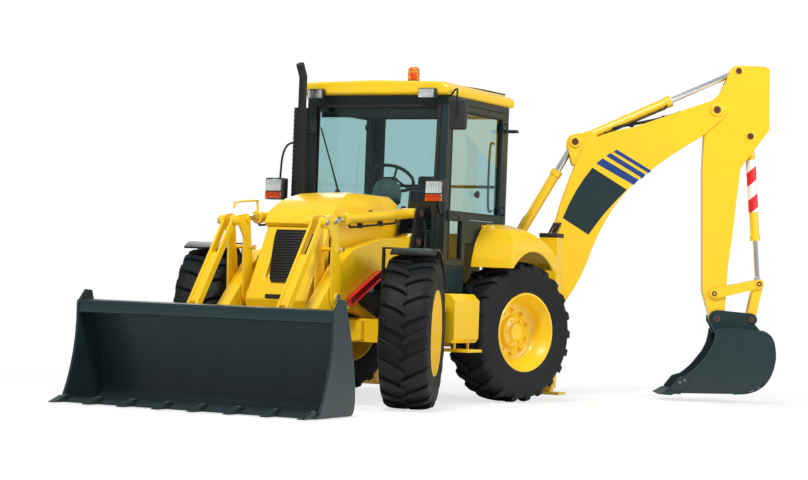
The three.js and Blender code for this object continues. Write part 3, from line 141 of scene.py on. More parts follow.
# %% Floor
floor_mesh = bmesh.new()
bmesh.ops.create_grid(floor_mesh, x_segments=2, y_segments=2, size=60)
floor_data = bpy.data.meshes.new("studio_floor")
floor_mesh.to_mesh(floor_data)
floor_mesh.free()
floor = bpy.data.objects.new("studio_floor", floor_data)
bpy.context.scene.collection.objects.link(floor)
floor_finish = bpy.data.materials.new("floor_finish")
floor_finish.use_nodes = True
tree = floor_finish.node_tree
painted = tree.nodes["Principled BSDF"]
painted.inputs["Base Color"].default_value = (0.93, 0.93, 0.93, 1)
painted.inputs["Roughness"].default_value = 0.9
painted.inputs["Specular IOR Level"].default_value = 0.1
glow = tree.nodes.new("ShaderNodeEmission")
glow.inputs["Color"].default_value = (1, 1, 1, 1)
blend_floor = tree.nodes.new("ShaderNodeMixShader")
floor_rays = tree.nodes.new("ShaderNodeLightPath")
floor_share = tree.nodes.new("ShaderNodeMath")
floor_share.operation = "MULTIPLY"
floor_spot = tree.nodes.new("ShaderNodeVectorMath")
floor_spot.operation = "LENGTH"
tree.links.new(tree.nodes.new("ShaderNodeTexCoord").outputs["Object"], floor_spot.inputs[0])
further = tree.nodes.new("ShaderNodeMapRange")
further.interpolation_type = "SMOOTHSTEP"
for label, amount in (("From Min", 3.0), ("From Max", 7.5), ("To Min", 0.72), ("To Max", 1.0)):
    further.inputs[label].default_value = amount
tree.links.new(floor_spot.outputs["Value"], further.inputs["Value"])
tree.links.new(floor_rays.outputs["Is Camera Ray"], floor_share.inputs[0])
tree.links.new(further.outputs["Result"], floor_share.inputs[1])
tree.links.new(floor_share.outputs[0], blend_floor.inputs[0])
tree.links.new(painted.outputs[0], blend_floor.inputs[1])
tree.links.new(glow.outputs[0], blend_floor.inputs[2])
tree.links.new(blend_floor.outputs[0], tree.nodes["Material Output"].inputs["Surface"])
floor.data.materials.append(floor_finish)
print("floor ready")


# %% Lamps
def softbox(name, place, target, size, power, colour=(1, 1, 1)):
    lamp = bpy.data.lights.new(name, "AREA")
    lamp.shape = "DISK"
    lamp.size = size
    lamp.energy = power
    lamp.color = colour
    holder = bpy.data.objects.new(name, lamp)
    bpy.context.scene.collection.objects.link(holder)
    holder.location = place
    holder.rotation_euler = (Vector(target) - Vector(place)).to_track_quat("-Z", "Y").to_euler()
    return holder


softbox("key", at(2.5, -8.5, 12.5), at(0, 0, 1.2), 2.6, 1500, (1.0, 0.97, 0.92))
softbox("side_fill", at(12, 2, 6), at(0.5, 1.5, 1.4), 6, 520)
softbox("back_rim", at(-6, 10, 8), at(0, 1, 1.5), 5, 420)
print("three soft lamps")

# %% [markdown]
# ## Finishes
#
# Enamel on a working machine is never one flat colour. It pools a little at edges, dulls where dust
# settles, and carries a fine orange-peel ripple from the spray gun. Those effects are shared by several
# paints, so each is a node group, built once with named sockets, and every paint sets its own amounts.


# %% Helper for node groups
def shared_effect(name, inputs, outputs):
    group = bpy.data.node_groups.new(name, "ShaderNodeTree")
    for label, value in inputs:
        socket = group.interface.new_socket(label, in_out="INPUT", socket_type="NodeSocketFloat")
        socket.default_value = value
    for label, kind in outputs:
        group.interface.new_socket(label, in_out="OUTPUT", socket_type=kind)
    return group, group.nodes.new("NodeGroupInput"), group.nodes.new("NodeGroupOutput")


def noise(nodes, links, scale, detail=3.0, roughness=0.55):
    """Noise on Object coordinates, so that it stays with the piece when a joint moves."""
    place = nodes.new("ShaderNodeTexCoord")
    node = nodes.new("ShaderNodeTexNoise")
    node.inputs["Scale"].default_value = scale
    node.inputs["Detail"].default_value = detail
    node.inputs["Roughness"].default_value = roughness
    links.new(place.outputs["Object"], node.inputs["Vector"])
    return node


def ramp(nodes, links, source, low, high):
    """Turn a value into 0 below low, 1 above high."""
    node = nodes.new("ShaderNodeMapRange")
    node.interpolation_type = "SMOOTHSTEP"
    node.inputs["From Min"].default_value = low
    node.inputs["From Max"].default_value = high
    links.new(source, node.inputs["Value"])
    return node.outputs["Result"]


def arithmetic(nodes, links, operation, a, b):
    node = nodes.new("ShaderNodeMath")
    node.operation = operation
    for socket, value in zip(node.inputs, (a, b)):
        if isinstance(value, (int, float)):
            socket.default_value = value
        else:
            links.new(value, socket)
    return node.outputs[0]


def colour_mix(nodes, links, share, first, second):
    """Blend two colours by a share from 0 to 1. Each colour is a tuple or another node's output."""
    node = nodes.new("ShaderNodeMix")
    node.data_type = "RGBA"
    links.new(share, node.inputs["Factor"])
    for socket, value in zip((node.inputs[6], node.inputs[7]), (first, second)):
        if isinstance(value, tuple):
            socket.default_value = (*value, 1)
        else:
            links.new(value, socket)
    return node.outputs[2]


def effect(nodes, group, **amounts):
    """Use one of the shared node groups, with its amounts set."""
    node = nodes.new("ShaderNodeGroup")
    node.node_tree = group
    for label, value in amounts.items():
        node.inputs[label.replace("_", " ")].default_value = value
    return node


# %% Dust that gathers low down
dust_group, dust_in, dust_out = shared_effect(
    "road_dust", [("Amount", 0.3), ("Fade Height", 1.4)], [("Mask", "NodeSocketFloat")])
n, l = dust_group.nodes, dust_group.links
cloud = noise(n, l, 3.1, 5)
speck = noise(n, l, 46.0, 3)
height = n.new("ShaderNodeSeparateXYZ")
l.new(n.new("ShaderNodeTexCoord").outputs["Object"], height.inputs[0])
share = arithmetic(n, l, "DIVIDE", height.outputs["Z"], dust_in.outputs["Fade Height"])
low_down = arithmetic(n, l, "SUBTRACT", 1.0, ramp(n, l, share, 0.0, 1.0))
patchy = arithmetic(n, l, "MULTIPLY", ramp(n, l, cloud.outputs[0], 0.35, 0.75), ramp(n, l, speck.outputs[0], 0.3, 0.7))
both = arithmetic(n, l, "ADD", arithmetic(n, l, "MULTIPLY", low_down, 0.6), arithmetic(n, l, "MULTIPLY", patchy, 0.4))
l.new(arithmetic(n, l, "MULTIPLY", both, dust_in.outputs["Amount"]), dust_out.inputs["Mask"])
print("dust group ready")

# %% Wear along edges
wear_group, wear_in, wear_out = shared_effect(
    "edge_wear", [("Amount", 0.5)], [("Mask", "NodeSocketFloat")])
n, l = wear_group.nodes, wear_group.links
shape = n.new("ShaderNodeNewGeometry")
chips = noise(n, l, 38.0, 4)
sharp = ramp(n, l, shape.outputs["Pointiness"], 0.53, 0.62)
broken = arithmetic(n, l, "MULTIPLY", sharp, ramp(n, l, chips.outputs[0], 0.48, 0.6))
l.new(arithmetic(n, l, "MULTIPLY", broken, wear_in.outputs["Amount"]), wear_out.inputs["Mask"])
print("wear group ready")

# %% Spray ripple and brushed tone
ripple_group, ripple_in, ripple_out = shared_effect(
    "spray_ripple", [("Strength", 0.04)], [("Normal", "NodeSocketVector"), ("Tone", "NodeSocketFloat")])
n, l = ripple_group.nodes, ripple_group.links
peel = noise(n, l, 210.0, 2)
wave = noise(n, l, 5.5, 3)
bump = n.new("ShaderNodeBump")
bump.inputs["Distance"].default_value = 0.002
l.new(ripple_in.outputs["Strength"], bump.inputs["Strength"])
l.new(peel.outputs[0], bump.inputs["Height"])
l.new(bump.outputs[0], ripple_out.inputs["Normal"])
l.new(wave.outputs[0], ripple_out.inputs["Tone"])
print("ripple group ready")


# %% [markdown]
# One function lays down every paint, casting and moulding: the colour drifts slightly between a lighter and
# a darker tone, dust is mixed over it, and bare metal or primer shows at worn edges. The amounts differ
# from finish to finish. Numbers that are the same all over go straight onto the shader's own sockets.

# %% Helper for finishes
def finish(name, colour, rough, drift=0.08, dust=0.15, fade=1.3, wear=0.0, worn=(0.3, 0.29, 0.27),
           ripple=0.04, metal=0.0, coat=0.0, gloss=0.5, dust_colour=(0.33, 0.27, 0.19)):
    material = bpy.data.materials.new(name)
    material.use_nodes = True
    tree = material.node_tree
    nodes, links = tree.nodes, tree.links
    shader = nodes["Principled BSDF"]
    surface = effect(nodes, ripple_group, Strength=ripple)
    wearing = effect(nodes, wear_group, Amount=wear)
    dusting = effect(nodes, dust_group, Amount=dust, Fade_Height=fade)
    darker = tuple(c * (1 - drift) for c in colour)
    lighter = tuple(min(1.0, c * (1 + drift)) for c in colour)
    tones = colour_mix(nodes, links, surface.outputs["Tone"], darker, lighter)
    chipped = colour_mix(nodes, links, wearing.outputs["Mask"], tones, worn)
    dusted = colour_mix(nodes, links, dusting.outputs["Mask"], chipped, dust_colour)
    links.new(dusted, shader.inputs["Base Color"])
    dull = arithmetic(nodes, links, "ADD", rough, arithmetic(nodes, links, "MULTIPLY", dusting.outputs["Mask"], 0.5))
    links.new(dull, shader.inputs["Roughness"])
    links.new(surface.outputs["Normal"], shader.inputs["Normal"])
    shader.inputs["Metallic"].default_value = metal
    shader.inputs["Coat Weight"].default_value = coat
    shader.inputs["Coat Roughness"].default_value = 0.12
    shader.inputs["Specular IOR Level"].default_value = gloss
    return material


# %% Paints
yellow = finish("yellow_enamel", (0.92, 0.575, 0.004), 0.34, drift=0.05, dust=0.10, fade=1.0, wear=0.04, coat=0.35)
slate = finish("slate_enamel", (0.013, 0.032, 0.037), 0.36, drift=0.15, dust=0.05, fade=0.5, coat=0.08, gloss=0.25)
satin_black = finish("satin_black", (0.009, 0.010, 0.011), 0.42, drift=0.2, dust=0.08, gloss=0.3)
red_enamel = finish("red_enamel", (0.62, 0.012, 0.016), 0.32, dust=0.05, coat=0.4)
white_enamel = finish("white_enamel", (0.82, 0.82, 0.80), 0.35, dust=0.08)
blue_film = finish("blue_film", (0.012, 0.045, 0.22), 0.3, dust=0.04)
print("paints ready")

# %% Metals, mouldings and rubber
chrome = finish("chromed_rod", (0.80, 0.81, 0.83), 0.10, drift=0.03, dust=0.02, metal=1.0, ripple=0.01)
bare_steel = finish("zinc_steel", (0.42, 0.42, 0.43), 0.36, drift=0.15, dust=0.1, metal=0.9)
worn_steel = finish("ground_steel", (0.20, 0.19, 0.18), 0.42, drift=0.25, dust=0.25, fade=0.5, metal=0.8, ripple=0.12)
pin_steel = finish("greased_pin", (0.12, 0.045, 0.03), 0.45, drift=0.3, dust=0.1, metal=0.4)
cast_grey = finish("engine_casting", (0.09, 0.095, 0.1), 0.6, drift=0.2, dust=0.3, fade=2.0, ripple=0.2)
black_plastic = finish("black_moulding", (0.012, 0.013, 0.014), 0.5, drift=0.1, dust=0.05, ripple=0.12)
seal_rubber = finish("seal_rubber", (0.010, 0.010, 0.011), 0.65, drift=0.1, dust=0.05, ripple=0.08)
tyre_rubber = finish("tyre_rubber", (0.006, 0.008, 0.010), 0.60, drift=0.25, dust=0.06, fade=1.0, ripple=0.25,
                     gloss=0.22, dust_colour=(0.13, 0.12, 0.105))
print("metals and mouldings ready")

# %% [markdown]
# Glass keeps its clearness, roughness and bending of light on plain sockets, so that it exports as glass; only
# its tint drifts a little. The cab panes are blue-green, the lamp lenses nearly clear, and the beacon and
# indicators amber.


# %% Glass and lenses
def glazing(name, colour, rough, ior=1.45):
    material = bpy.data.materials.new(name)
    material.use_nodes = True
    nodes, links = material.node_tree.nodes, material.node_tree.links
    shader = nodes["Principled BSDF"]
    film = noise(nodes, links, 2.2, 3)
    tint = colour_mix(nodes, links, film.outputs[0], tuple(c * 0.94 for c in colour), colour)
    links.new(tint, shader.inputs["Base Color"])
    shader.inputs["Roughness"].default_value = rough
    shader.inputs["Transmission Weight"].default_value = 1.0
    shader.inputs["IOR"].default_value = ior
    return material


pane_glass = glazing("tinted_pane", (0.56, 0.73, 0.735), 0.0, 1.3)
clear_lens = glazing("lamp_lens", (0.93, 0.95, 0.95), 0.08)
amber_lens = glazing("amber_lens", (0.95, 0.30, 0.02), 0.08)
reflector = finish("lamp_reflector", (0.85, 0.85, 0.83), 0.16, drift=0.02, dust=0.0, metal=1.0, ripple=0.0)
amber_body = finish("amber_moulding", (0.85, 0.16, 0.01), 0.25, drift=0.05, dust=0.02, coat=0.5)
print("glass ready")

# %% [markdown]
# ## Steelwork
#
# Every plate on the real machine has a rolled or ground edge that catches the light. The CAD meshes have
# knife edges, so each steel one but the rims is copied, welded, given a narrow bevel and smoothed, and the
# copy stands for the node. Round bars are many-sided in CAD; smoothing by angle makes them look turned again.


# %% Helpers for meshes
def face_outwards(mesh):
    """Turn every face outwards. The normals are brought up to date first, because the operator reads them."""
    mesh.normal_update()
    bmesh.ops.recalc_face_normals(mesh, faces=mesh.faces)


def bevelled(mesh, edges, width, segments=2):
    """Round or chamfer the given edges."""
    bmesh.ops.bevel(mesh, geom=edges, offset=width, offset_type="OFFSET", segments=segments, profile=0.5,
                    affect="EDGES", material=-1)


def thickened(mesh, faces, push):
    """Push a copy of the faces along a vector, with walls between the two, and make the shell face outwards."""
    pushed = bmesh.ops.extrude_face_region(mesh, geom=faces, use_keep_orig=True)
    bmesh.ops.translate(mesh, vec=push, verts=[g for g in pushed["geom"] if isinstance(g, bmesh.types.BMVert)])
    face_outwards(mesh)


def turn_between(start, end):
    """The shortest turn that points one direction along another."""
    return Vector(start).rotation_difference(Vector(end)).to_matrix().to_4x4()


# %% Helpers for pieces
def to_piece(name, mesh, body, materials, smooth=40):
    """Make the object of a finished bmesh, on its body. The object stays at the origin."""
    data = bpy.data.meshes.new(name)
    mesh.to_mesh(data)
    mesh.free()
    piece = bpy.data.objects.new(name, data)
    bpy.context.scene.collection.objects.link(piece)
    for material in materials:
        data.materials.append(material)
    data.polygons.foreach_set("use_smooth", [True] * len(data.polygons))
    data.set_sharp_from_angle(angle=radians(smooth))
    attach(piece, body)
    return piece


def rounded(piece, width, segments=2, angle=38):
    bevel = piece.modifiers.new("edge", "BEVEL")
    bevel.width = width
    bevel.segments = segments
    bevel.limit_method = "ANGLE"
    bevel.angle_limit = radians(angle)
    bevel.use_clamp_overlap = True
    bevel.harden_normals = False
    weighted = piece.modifiers.new("shading", "WEIGHTED_NORMAL")
    weighted.keep_sharp = True
    return piece


def refine(node, width, material, angle=38):
    """A welded, softened copy of a CAD node that stands for it."""
    mesh = bmesh.new()
    mesh.from_mesh(frame["nodes"][node].data)
    bmesh.ops.remove_doubles(mesh, verts=mesh.verts, dist=2e-5)
    bmesh.ops.dissolve_limit(mesh, angle_limit=radians(0.6), verts=mesh.verts, edges=mesh.edges)
    piece = to_piece(node + "_finished", mesh, body_of_node[node], [material], smooth=33)
    rounded(piece, width, 2, angle)
    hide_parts(node)
    return piece


# %% Painted plate
yellow_plate = {
    "front_nose": 0.012, "hood": 0.016, "cab_roof": 0.020, "left_fender": 0.012, "right_fender": 0.012,
    "fuel_tank": 0.010, "battery_box": 0.010, "rear_frame": 0.006, "front_axle": 0.006,
    "rear_left_knuckle": 0.005, "rear_right_knuckle": 0.005, "left_stabiliser_leg": 0.004,
    "right_stabiliser_leg": 0.004, "loader_arms": 0.006, "slide_carriage": 0.005, "swing_post": 0.004,
    "boom": 0.006, "dipper": 0.006, "hoe_lever": 0.003, "hoe_link": 0.003, "boom_barrel": 0.002,
    "dipper_barrel": 0.002, "bucket_barrel": 0.002}
for side in ("left", "right"):
    for part, width in (("tilt_lever", 0.003), ("tilt_link", 0.003), ("tilt_barrel", 0.002), ("lift_barrel", 0.002)):
        yellow_plate[f"{side}_{part}"] = width
for node, width in yellow_plate.items():
    refine(node, width, yellow)
print(len(yellow_plate), "yellow pieces")

# %% Dark plate, rods and castings
for node, width in {"cab_shell": 0.008, "left_door": 0.006, "right_door": 0.006, "loader_bucket": 0.003,
                    "hoe_bucket": 0.003}.items():
    refine(node, width, slate)
for node, width in {"chassis_frame": 0.004, "rear_axle": 0.006, "front_left_knuckle": 0.005,
                    "front_right_knuckle": 0.005}.items():
    refine(node, width, satin_black)
for node in [n for n in frame["nodes"] if n.endswith("_rod")]:
    refine(node, 0.002, chrome)
refine("engine_block", 0.010, cast_grey)
refine("dashboard", 0.006, black_plastic)
refine("exhaust_stack", 0.002, satin_black)
print("dark plate, rods and castings ready")

# %% [markdown]
# ## Wheels
#
# All four wheels are the same size. An industrial tyre has a rounded carcass with deep bars set in a
# chevron, left and right rows half a step apart. The carcass is one profile spun round the axle. One bar is
# modelled from a box, bent round the shoulder, and copied round both sides.

# %% Wheel places
joint_of_child = {joint["child"]: joint for joint in frame["joints"]}
wheel_places = {}
for end in ("front", "rear"):
    for side in ("left", "right"):
        joint = joint_of_child[f"{end}_{side}_wheel"]
        out = Vector(joint["axis"]) * (1 if side == "left" else -1)
        out.normalize()
        back = Vector((0, 0, 1)).cross(out)
        place = Matrix((out, back, Vector((0, 0, 1)))).transposed().to_4x4()
        wheel_places[end, side] = Matrix.Translation(Vector(joint["pos_m"])) @ place
print("wheel axes:", {key: round(degrees(atan2(m[1][0], m[0][0])), 1) for key, m in wheel_places.items()})


# %% Helper for turned pieces
def turned(profile, steps, closed=True):
    """Spin a profile of (along the axle, radius) points round the local X axis."""
    mesh = bmesh.new()
    points = [mesh.verts.new((x, 0, r)) for x, r in profile]
    edges = [mesh.edges.new(pair) for pair in zip(points, points[1:])]
    if closed:
        edges.append(mesh.edges.new((points[-1], points[0])))
    bmesh.ops.spin(mesh, geom=points + edges, cent=(0, 0, 0), axis=(1, 0, 0), angle=2 * pi, steps=steps,
                   use_merge=True, use_duplicate=False)
    bmesh.ops.remove_doubles(mesh, verts=mesh.verts, dist=1e-5)
    bmesh.ops.delete(mesh, geom=[edge for edge in mesh.edges if edge.is_wire], context="EDGES")
    face_outwards(mesh)
    return mesh


TYRE_OUTER, RIM_SEAT, CARCASS = 0.660, 0.3655, 0.628

# %% Carcass
half_tyre = [(0.188, RIM_SEAT), (0.205, 0.372), (0.2105, 0.400), (0.2175, 0.450), (0.2195, 0.500),
             (0.216, 0.555), (0.205, 0.595), (0.180, 0.617), (0.120, 0.626), (0.0, CARCASS)]
tyre_profile = half_tyre + [(-x, r) for x, r in reversed(half_tyre[:-1])]


def tread_bar(way):
    """One bar from near the crown, back along the tread, over the shoulder and down the side wall."""
    bar = bmesh.new()
    bmesh.ops.create_cube(bar, size=1.0)
    lengthwise = [e for e in bar.edges if abs(e.verts[0].co.x - e.verts[1].co.x) > 0.5]
    bmesh.ops.subdivide_edges(bar, edges=lengthwise, cuts=7, use_grid_fill=True)
    bevelled(bar, [e for e in bar.edges if e.calc_face_angle(0) > 1 and min(v.co.z for v in e.verts) > 0.4], 0.12, 1)
    for v in bar.verts:
        along, across, deep = v.co.x + 0.5, v.co.y, v.co.z + 0.5
        spread = 0.064 * across * (0.85 + 0.35 * along)
        if along < 0.72:
            t = along / 0.72
            x = -0.012 + 0.205 * t
            outer, base = TYRE_OUTER - 0.016 * t ** 3, 0.600
        else:
            t = (along - 0.72) / 0.28
            x = 0.193 + 0.026 * t ** 0.8
            outer, base = TYRE_OUTER - 0.016 - 0.075 * t, 0.596 - 0.060 * t
        radius = base + (outer - base) * deep
        inset = 0.012 * (1 - deep) if along > 0.72 else 0.0
        angle = 0.165 * min(along / 0.72, 1.0) ** 0.8 + spread / TYRE_OUTER
        v.co = Vector((way * (x - inset), radius * sin(angle), radius * cos(angle)))
    face_outwards(bar)
    data = bpy.data.meshes.new("tread_bar")
    bar.to_mesh(data)
    bar.free()
    return data


# %% Tyres
BARS = 22
both_ways = {way: tread_bar(way) for way in (1, -1)}
for (end, side), place in wheel_places.items():
    mesh = turned(tyre_profile, 88)
    travel = 1 if side == "left" else -1
    for way, bar in both_ways.items():
        for i in range(BARS):
            first = len(mesh.verts)
            mesh.from_mesh(bar)
            mesh.verts.ensure_lookup_table()
            angle = 2 * pi * (i + (0.5 if way < 0 else 0.0)) / BARS
            bmesh.ops.rotate(mesh, cent=(0, 0, 0), matrix=Matrix.Rotation(angle, 3, "X"), verts=mesh.verts[first:])
    if travel < 0:
        bmesh.ops.scale(mesh, vec=(1, -1, 1), verts=mesh.verts)
        bmesh.ops.reverse_faces(mesh, faces=mesh.faces)
    mesh.transform(place)
    piece = to_piece(f"{end}_{side}_tyre_with_bars", mesh, f"{end}_{side}_wheel", [tyre_rubber])
    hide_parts(f"{end}_{side}_tyre")
for bar in both_ways.values():
    bpy.data.meshes.remove(bar)
print("four tyres,", BARS * 2, "bars each,", len(piece.data.polygons), "faces each")

# %% [markdown]
# The rim is a deep steel dish. Its flange holds the tyre's bead, the well slopes in to a flat disc bolted to
# the hub with a ring of nuts, and the hub's cap stands proud in the middle.

# %% Rims
rim_profile = [
    (0.187, 0.364), (0.205, 0.371), (0.212, 0.366), (0.210, 0.352), (0.196, 0.345), (0.170, 0.337),
    (0.140, 0.312), (0.092, 0.300), (0.060, 0.290), (0.030, 0.268), (0.020, 0.245), (0.018, 0.170),
    (0.022, 0.160), (0.060, 0.148), (0.070, 0.135), (0.072, 0.098), (0.078, 0.090), (0.096, 0.082),
    (0.101, 0.066), (0.101, 0.0), (-0.006, 0.0), (-0.006, 0.150), (-0.058, 0.300), (-0.186, 0.347),
    (-0.205, 0.358), (-0.205, 0.368), (-0.187, 0.364)]
NUTS, HUB_BOLTS = 10, 6


def wheel_nut(mesh, radius, angle, x, size, height, sides=6):
    made = bmesh.ops.create_cone(mesh, cap_ends=True, segments=sides, radius1=size, radius2=size, depth=height)
    turn = Matrix.Rotation(radians(90), 4, "Y")
    shift = Matrix.Translation((x, radius * sin(angle), radius * cos(angle)))
    bmesh.ops.transform(mesh, matrix=shift @ turn, verts=made["verts"])


for (end, side), place in wheel_places.items():
    mesh = turned(rim_profile, 72)
    mesh.transform(place)
    rim = to_piece(f"{end}_{side}_rim_dish", mesh, f"{end}_{side}_wheel", [yellow], smooth=50)
    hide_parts(f"{end}_{side}_rim")
    nuts = bmesh.new()
    for i in range(NUTS):
        angle = 2 * pi * i / NUTS
        wheel_nut(nuts, 0.205, angle, 0.032, 0.017, 0.026)
        wheel_nut(nuts, 0.205, angle, 0.050, 0.0095, 0.022, 12)
    for i in range(HUB_BOLTS):
        wheel_nut(nuts, 0.115, 2 * pi * (i + 0.5) / HUB_BOLTS, 0.077, 0.011, 0.014)
    nuts.transform(place)
    bolts = to_piece(f"{end}_{side}_wheel_nuts", nuts, f"{end}_{side}_wheel", [yellow])
    rounded(bolts, 0.0015, 1, 50)
print("rims and nuts ready")

# %% [markdown]
# ## Helpers for plates, blocks, pipes and turned parts
#
# Most fittings are one of four things: a plate cut to an outline, a moulded block, a bent pipe or a turned
# part. Each helper starts from a face, a cube, a circle or a profile, and lets an operator do the rest.


# %% Plates and blocks
def flat(outline, thickness, rounding=0.0):
    """A plate: one face round the outline, pushed out along thickness."""
    mesh = bmesh.new()
    thickened(mesh, [mesh.faces.new([mesh.verts.new(p) for p in outline])], thickness)
    if rounding:
        bevelled(mesh, mesh.edges[:], rounding)
    return mesh


def ring(outline, width, thickness):
    """A frame of the given width, such as a rubber seal, inside an outline."""
    mesh = bmesh.new()
    face = mesh.faces.new([mesh.verts.new(p) for p in outline])
    face.normal_update()
    bmesh.ops.inset_region(mesh, faces=[face], thickness=width, use_boundary=True, use_even_offset=True)
    bmesh.ops.delete(mesh, geom=[face], context="FACES")
    thickened(mesh, mesh.faces[:], thickness)
    return mesh


def block(low, high, rounding=0.004, segments=2):
    """A box between two corners, with every edge rounded."""
    mesh = bmesh.new()
    bmesh.ops.create_cube(mesh, size=1.0)
    bmesh.ops.scale(mesh, vec=high - low, verts=mesh.verts)
    bmesh.ops.translate(mesh, vec=(low + high) / 2, verts=mesh.verts)
    bevelled(mesh, mesh.edges[:], rounding, segments)
    return mesh


# %% Pipes
def pipe(route, radius, sides=12, ends=None):
    """A round bar along a route: a circle at each point, bridged to the next, with capped ends."""
    mesh = bmesh.new()
    side, earlier = None, None
    for i, point in enumerate(route):
        ahead = (route[min(i + 1, len(route) - 1)] - route[max(i - 1, 0)]).normalized()
        side = side or ahead.orthogonal()
        side = (side - ahead * side.dot(ahead)).normalized()
        place = Matrix((side, ahead.cross(side), ahead)).transposed().to_4x4()
        place.translation = point
        size = radius if ends is None else radius + (ends - radius) * i / (len(route) - 1)
        at_end = i in (0, len(route) - 1)
        made = bmesh.ops.create_circle(mesh, cap_ends=at_end, segments=sides, radius=size, matrix=place)
        here = list({edge for v in made["verts"] for edge in v.link_edges})
        if earlier:
            bmesh.ops.bridge_loops(mesh, edges=earlier + here)
        earlier = here
    face_outwards(mesh)
    return mesh


# %% Curves and turned parts
def curved(points, steps=5):
    """Points along a smooth curve through the given ones."""
    padded = [points[0] * 2 - points[1], *points, points[-1] * 2 - points[-2]]
    route = []
    for a, b, c, d in zip(padded, padded[1:], padded[2:], padded[3:]):
        for i in range(steps):
            t = i / steps
            route.append(0.5 * ((2 * b) + (c - a) * t + (2 * a - 5 * b + 4 * c - d) * t * t
                                + (3 * b - a - 3 * c + d) * t ** 3))
    return route + [points[-1]]


def placed_turning(profile, place, axis, steps=24):
    """A turned part: the profile runs from pole to pole along the axis, starting at the place."""
    mesh = turned(profile, steps, closed=False)
    mesh.transform(Matrix.Translation(place) @ turn_between((1, 0, 0), axis))
    face_outwards(mesh)
    return mesh


def merged(meshes):
    """Several bmeshes as the shells of one."""
    whole = bmesh.new()
    for mesh in meshes:
        data = bpy.data.meshes.new("part")
        mesh.to_mesh(data)
        mesh.free()
        whole.from_mesh(data)
        bpy.data.meshes.remove(data)
    return whole


trial = flat([Vector((0, 0, 0)), Vector((1, 0, 0)), Vector((1, 1, 0)), Vector((0, 1, 0))], Vector((0, 0, 0.1)))
print("a plate is closed:", all(len(edge.link_faces) == 2 for edge in trial.edges))
trial.free()

# %% [markdown]
# ## Cab glazing
#
# The cab is mostly glass: two panes in each door, a wide windscreen and a rear window, set in black rubber.
# Each pane is a plate a little larger than its opening, and each seal is a ring round that opening. Thin
# plates with both faces behave as real panes do, and tint what is seen through them.

# %% Door panes
DOOR_OPENINGS = {"upper": [(0.12, 1.75), (1.22, 1.75), (1.22, 2.675), (0.12, 2.675)],
                 "lower": [(0.12, 1.315), (0.395, 1.315), (0.395, 1.67), (0.12, 1.67)]}


def grown(outline, by):
    """An outline of (y, z) corners moved outwards from its middle."""
    middle_y = sum(y for y, z in outline) / len(outline)
    middle_z = sum(z for y, z in outline) / len(outline)
    return [(y + (by if y > middle_y else -by), z + (by if z > middle_z else -by)) for y, z in outline]


for side, way in (("left", 1), ("right", -1)):
    body = f"{side}_door"
    for level, opening in DOOR_OPENINGS.items():
        pane = flat([at(way * 0.707, y, z) for y, z in grown(opening, 0.006)], Vector((way * 0.006, 0, 0)))
        to_piece(f"{side}_door_{level}_pane", pane, body, [pane_glass])
        for face, start in (("outer", 0.7305), ("inner", 0.6855)):
            seal = ring([at(way * start, y, z) for y, z in grown(opening, 0.012)], 0.018, Vector((way * 0.004, 0, 0)))
            to_piece(f"{side}_door_{level}_{face}_seal", seal, body, [seal_rubber])
print("door panes ready")

# %% Windscreen and rear window
screen = [(-0.632, 1.318), (0.632, 1.318), (0.662, 2.722), (-0.662, 2.722)]
to_piece("windscreen_seal", ring([at(x, 0.006, z) for x, z in screen], 0.034, Vector((0, 0.014, 0))), "root",
         [seal_rubber])
rear = [(-0.626, 1.554), (0.626, 1.554), (0.626, 2.716), (-0.626, 2.716)]
to_piece("rear_pane", flat([at(x, 1.345, z) for x, z in rear], Vector((0, 0.006, 0))), "root",
         [pane_glass])
to_piece("rear_window_seal", ring([at(x, 1.3705, z) for x, z in rear], 0.024, Vector((0, 0.006, 0))), "root",
         [seal_rubber])
rear_bar = block(at(-0.62, 1.335, 2.02), at(0.62, 1.36, 2.05), 0.004)
to_piece("rear_window_rail", rear_bar, "root", [satin_black])
print("windscreen and rear window ready")

# %% [markdown]
# ## Inside the cab
#
# Through the glass one sees a dark roof lining, a black visor along the top of the windscreen, and the
# rounded instrument pod with the steering wheel behind it.

# %% Roof lining and inner posts
to_piece("roof_lining", block(at(-0.66, 0.08, 2.715), at(0.66, 1.31, 2.752), 0.01), "root",
         [slate])
to_piece("sun_visor", block(at(-0.60, 0.052, 2.60), at(0.60, 0.064, 2.71), 0.004), "root",
         [black_plastic])
for side, way in (("left", 1), ("right", -1)):
    post = pipe([at(way * 0.655, 0.09, 1.12), at(way * 0.655, 0.09, 2.70)], 0.022, 12)
    to_piece(f"{side}_inner_post", post, "root", [black_plastic])
print("lining and posts ready")

# %% Instrument pod and levers
pod_grey = finish("pod_moulding", (0.10, 0.135, 0.135), 0.45, drift=0.06, dust=0.03, ripple=0.08)
pod = placed_turning([(0.0, 0.0), (0.0, 0.105), (0.02, 0.128), (0.10, 0.142), (0.17, 0.130), (0.225, 0.095),
                      (0.245, 0.045), (0.250, 0.0)], at(0, 0.30, 1.795), (0, -0.16, 1), 32)
bmesh.ops.scale(pod, vec=(1.0, 0.82, 1.0), space=Matrix.Translation(-at(0, 0.28, 1.9)), verts=pod.verts)
to_piece("instrument_pod", pod, "root", [pod_grey])
levers = []
for x in (-0.40, -0.33, 0.33, 0.40):
    foot, top = at(x, 0.66, 1.45), at(x * 0.96, 0.60, 1.86)
    levers.append(pipe([foot, foot.lerp(top, 0.5), top], 0.009, 8))
    levers.append(placed_turning([(0, 0), (0.004, 0.016), (0.03, 0.024), (0.055, 0.018), (0.062, 0)], top,
                                 (0, -0.1, 1), 16))
to_piece("control_levers", merged(levers), "root", [black_plastic])
consoles = [block(at(-0.45, 0.58, 1.05), at(-0.28, 1.20, 1.50), 0.03, 3),
            block(at(0.28, 0.58, 1.05), at(0.45, 1.20, 1.50), 0.03, 3)]
to_piece("side_consoles", merged(consoles), "root", [black_plastic])
print("pod, levers and consoles ready")

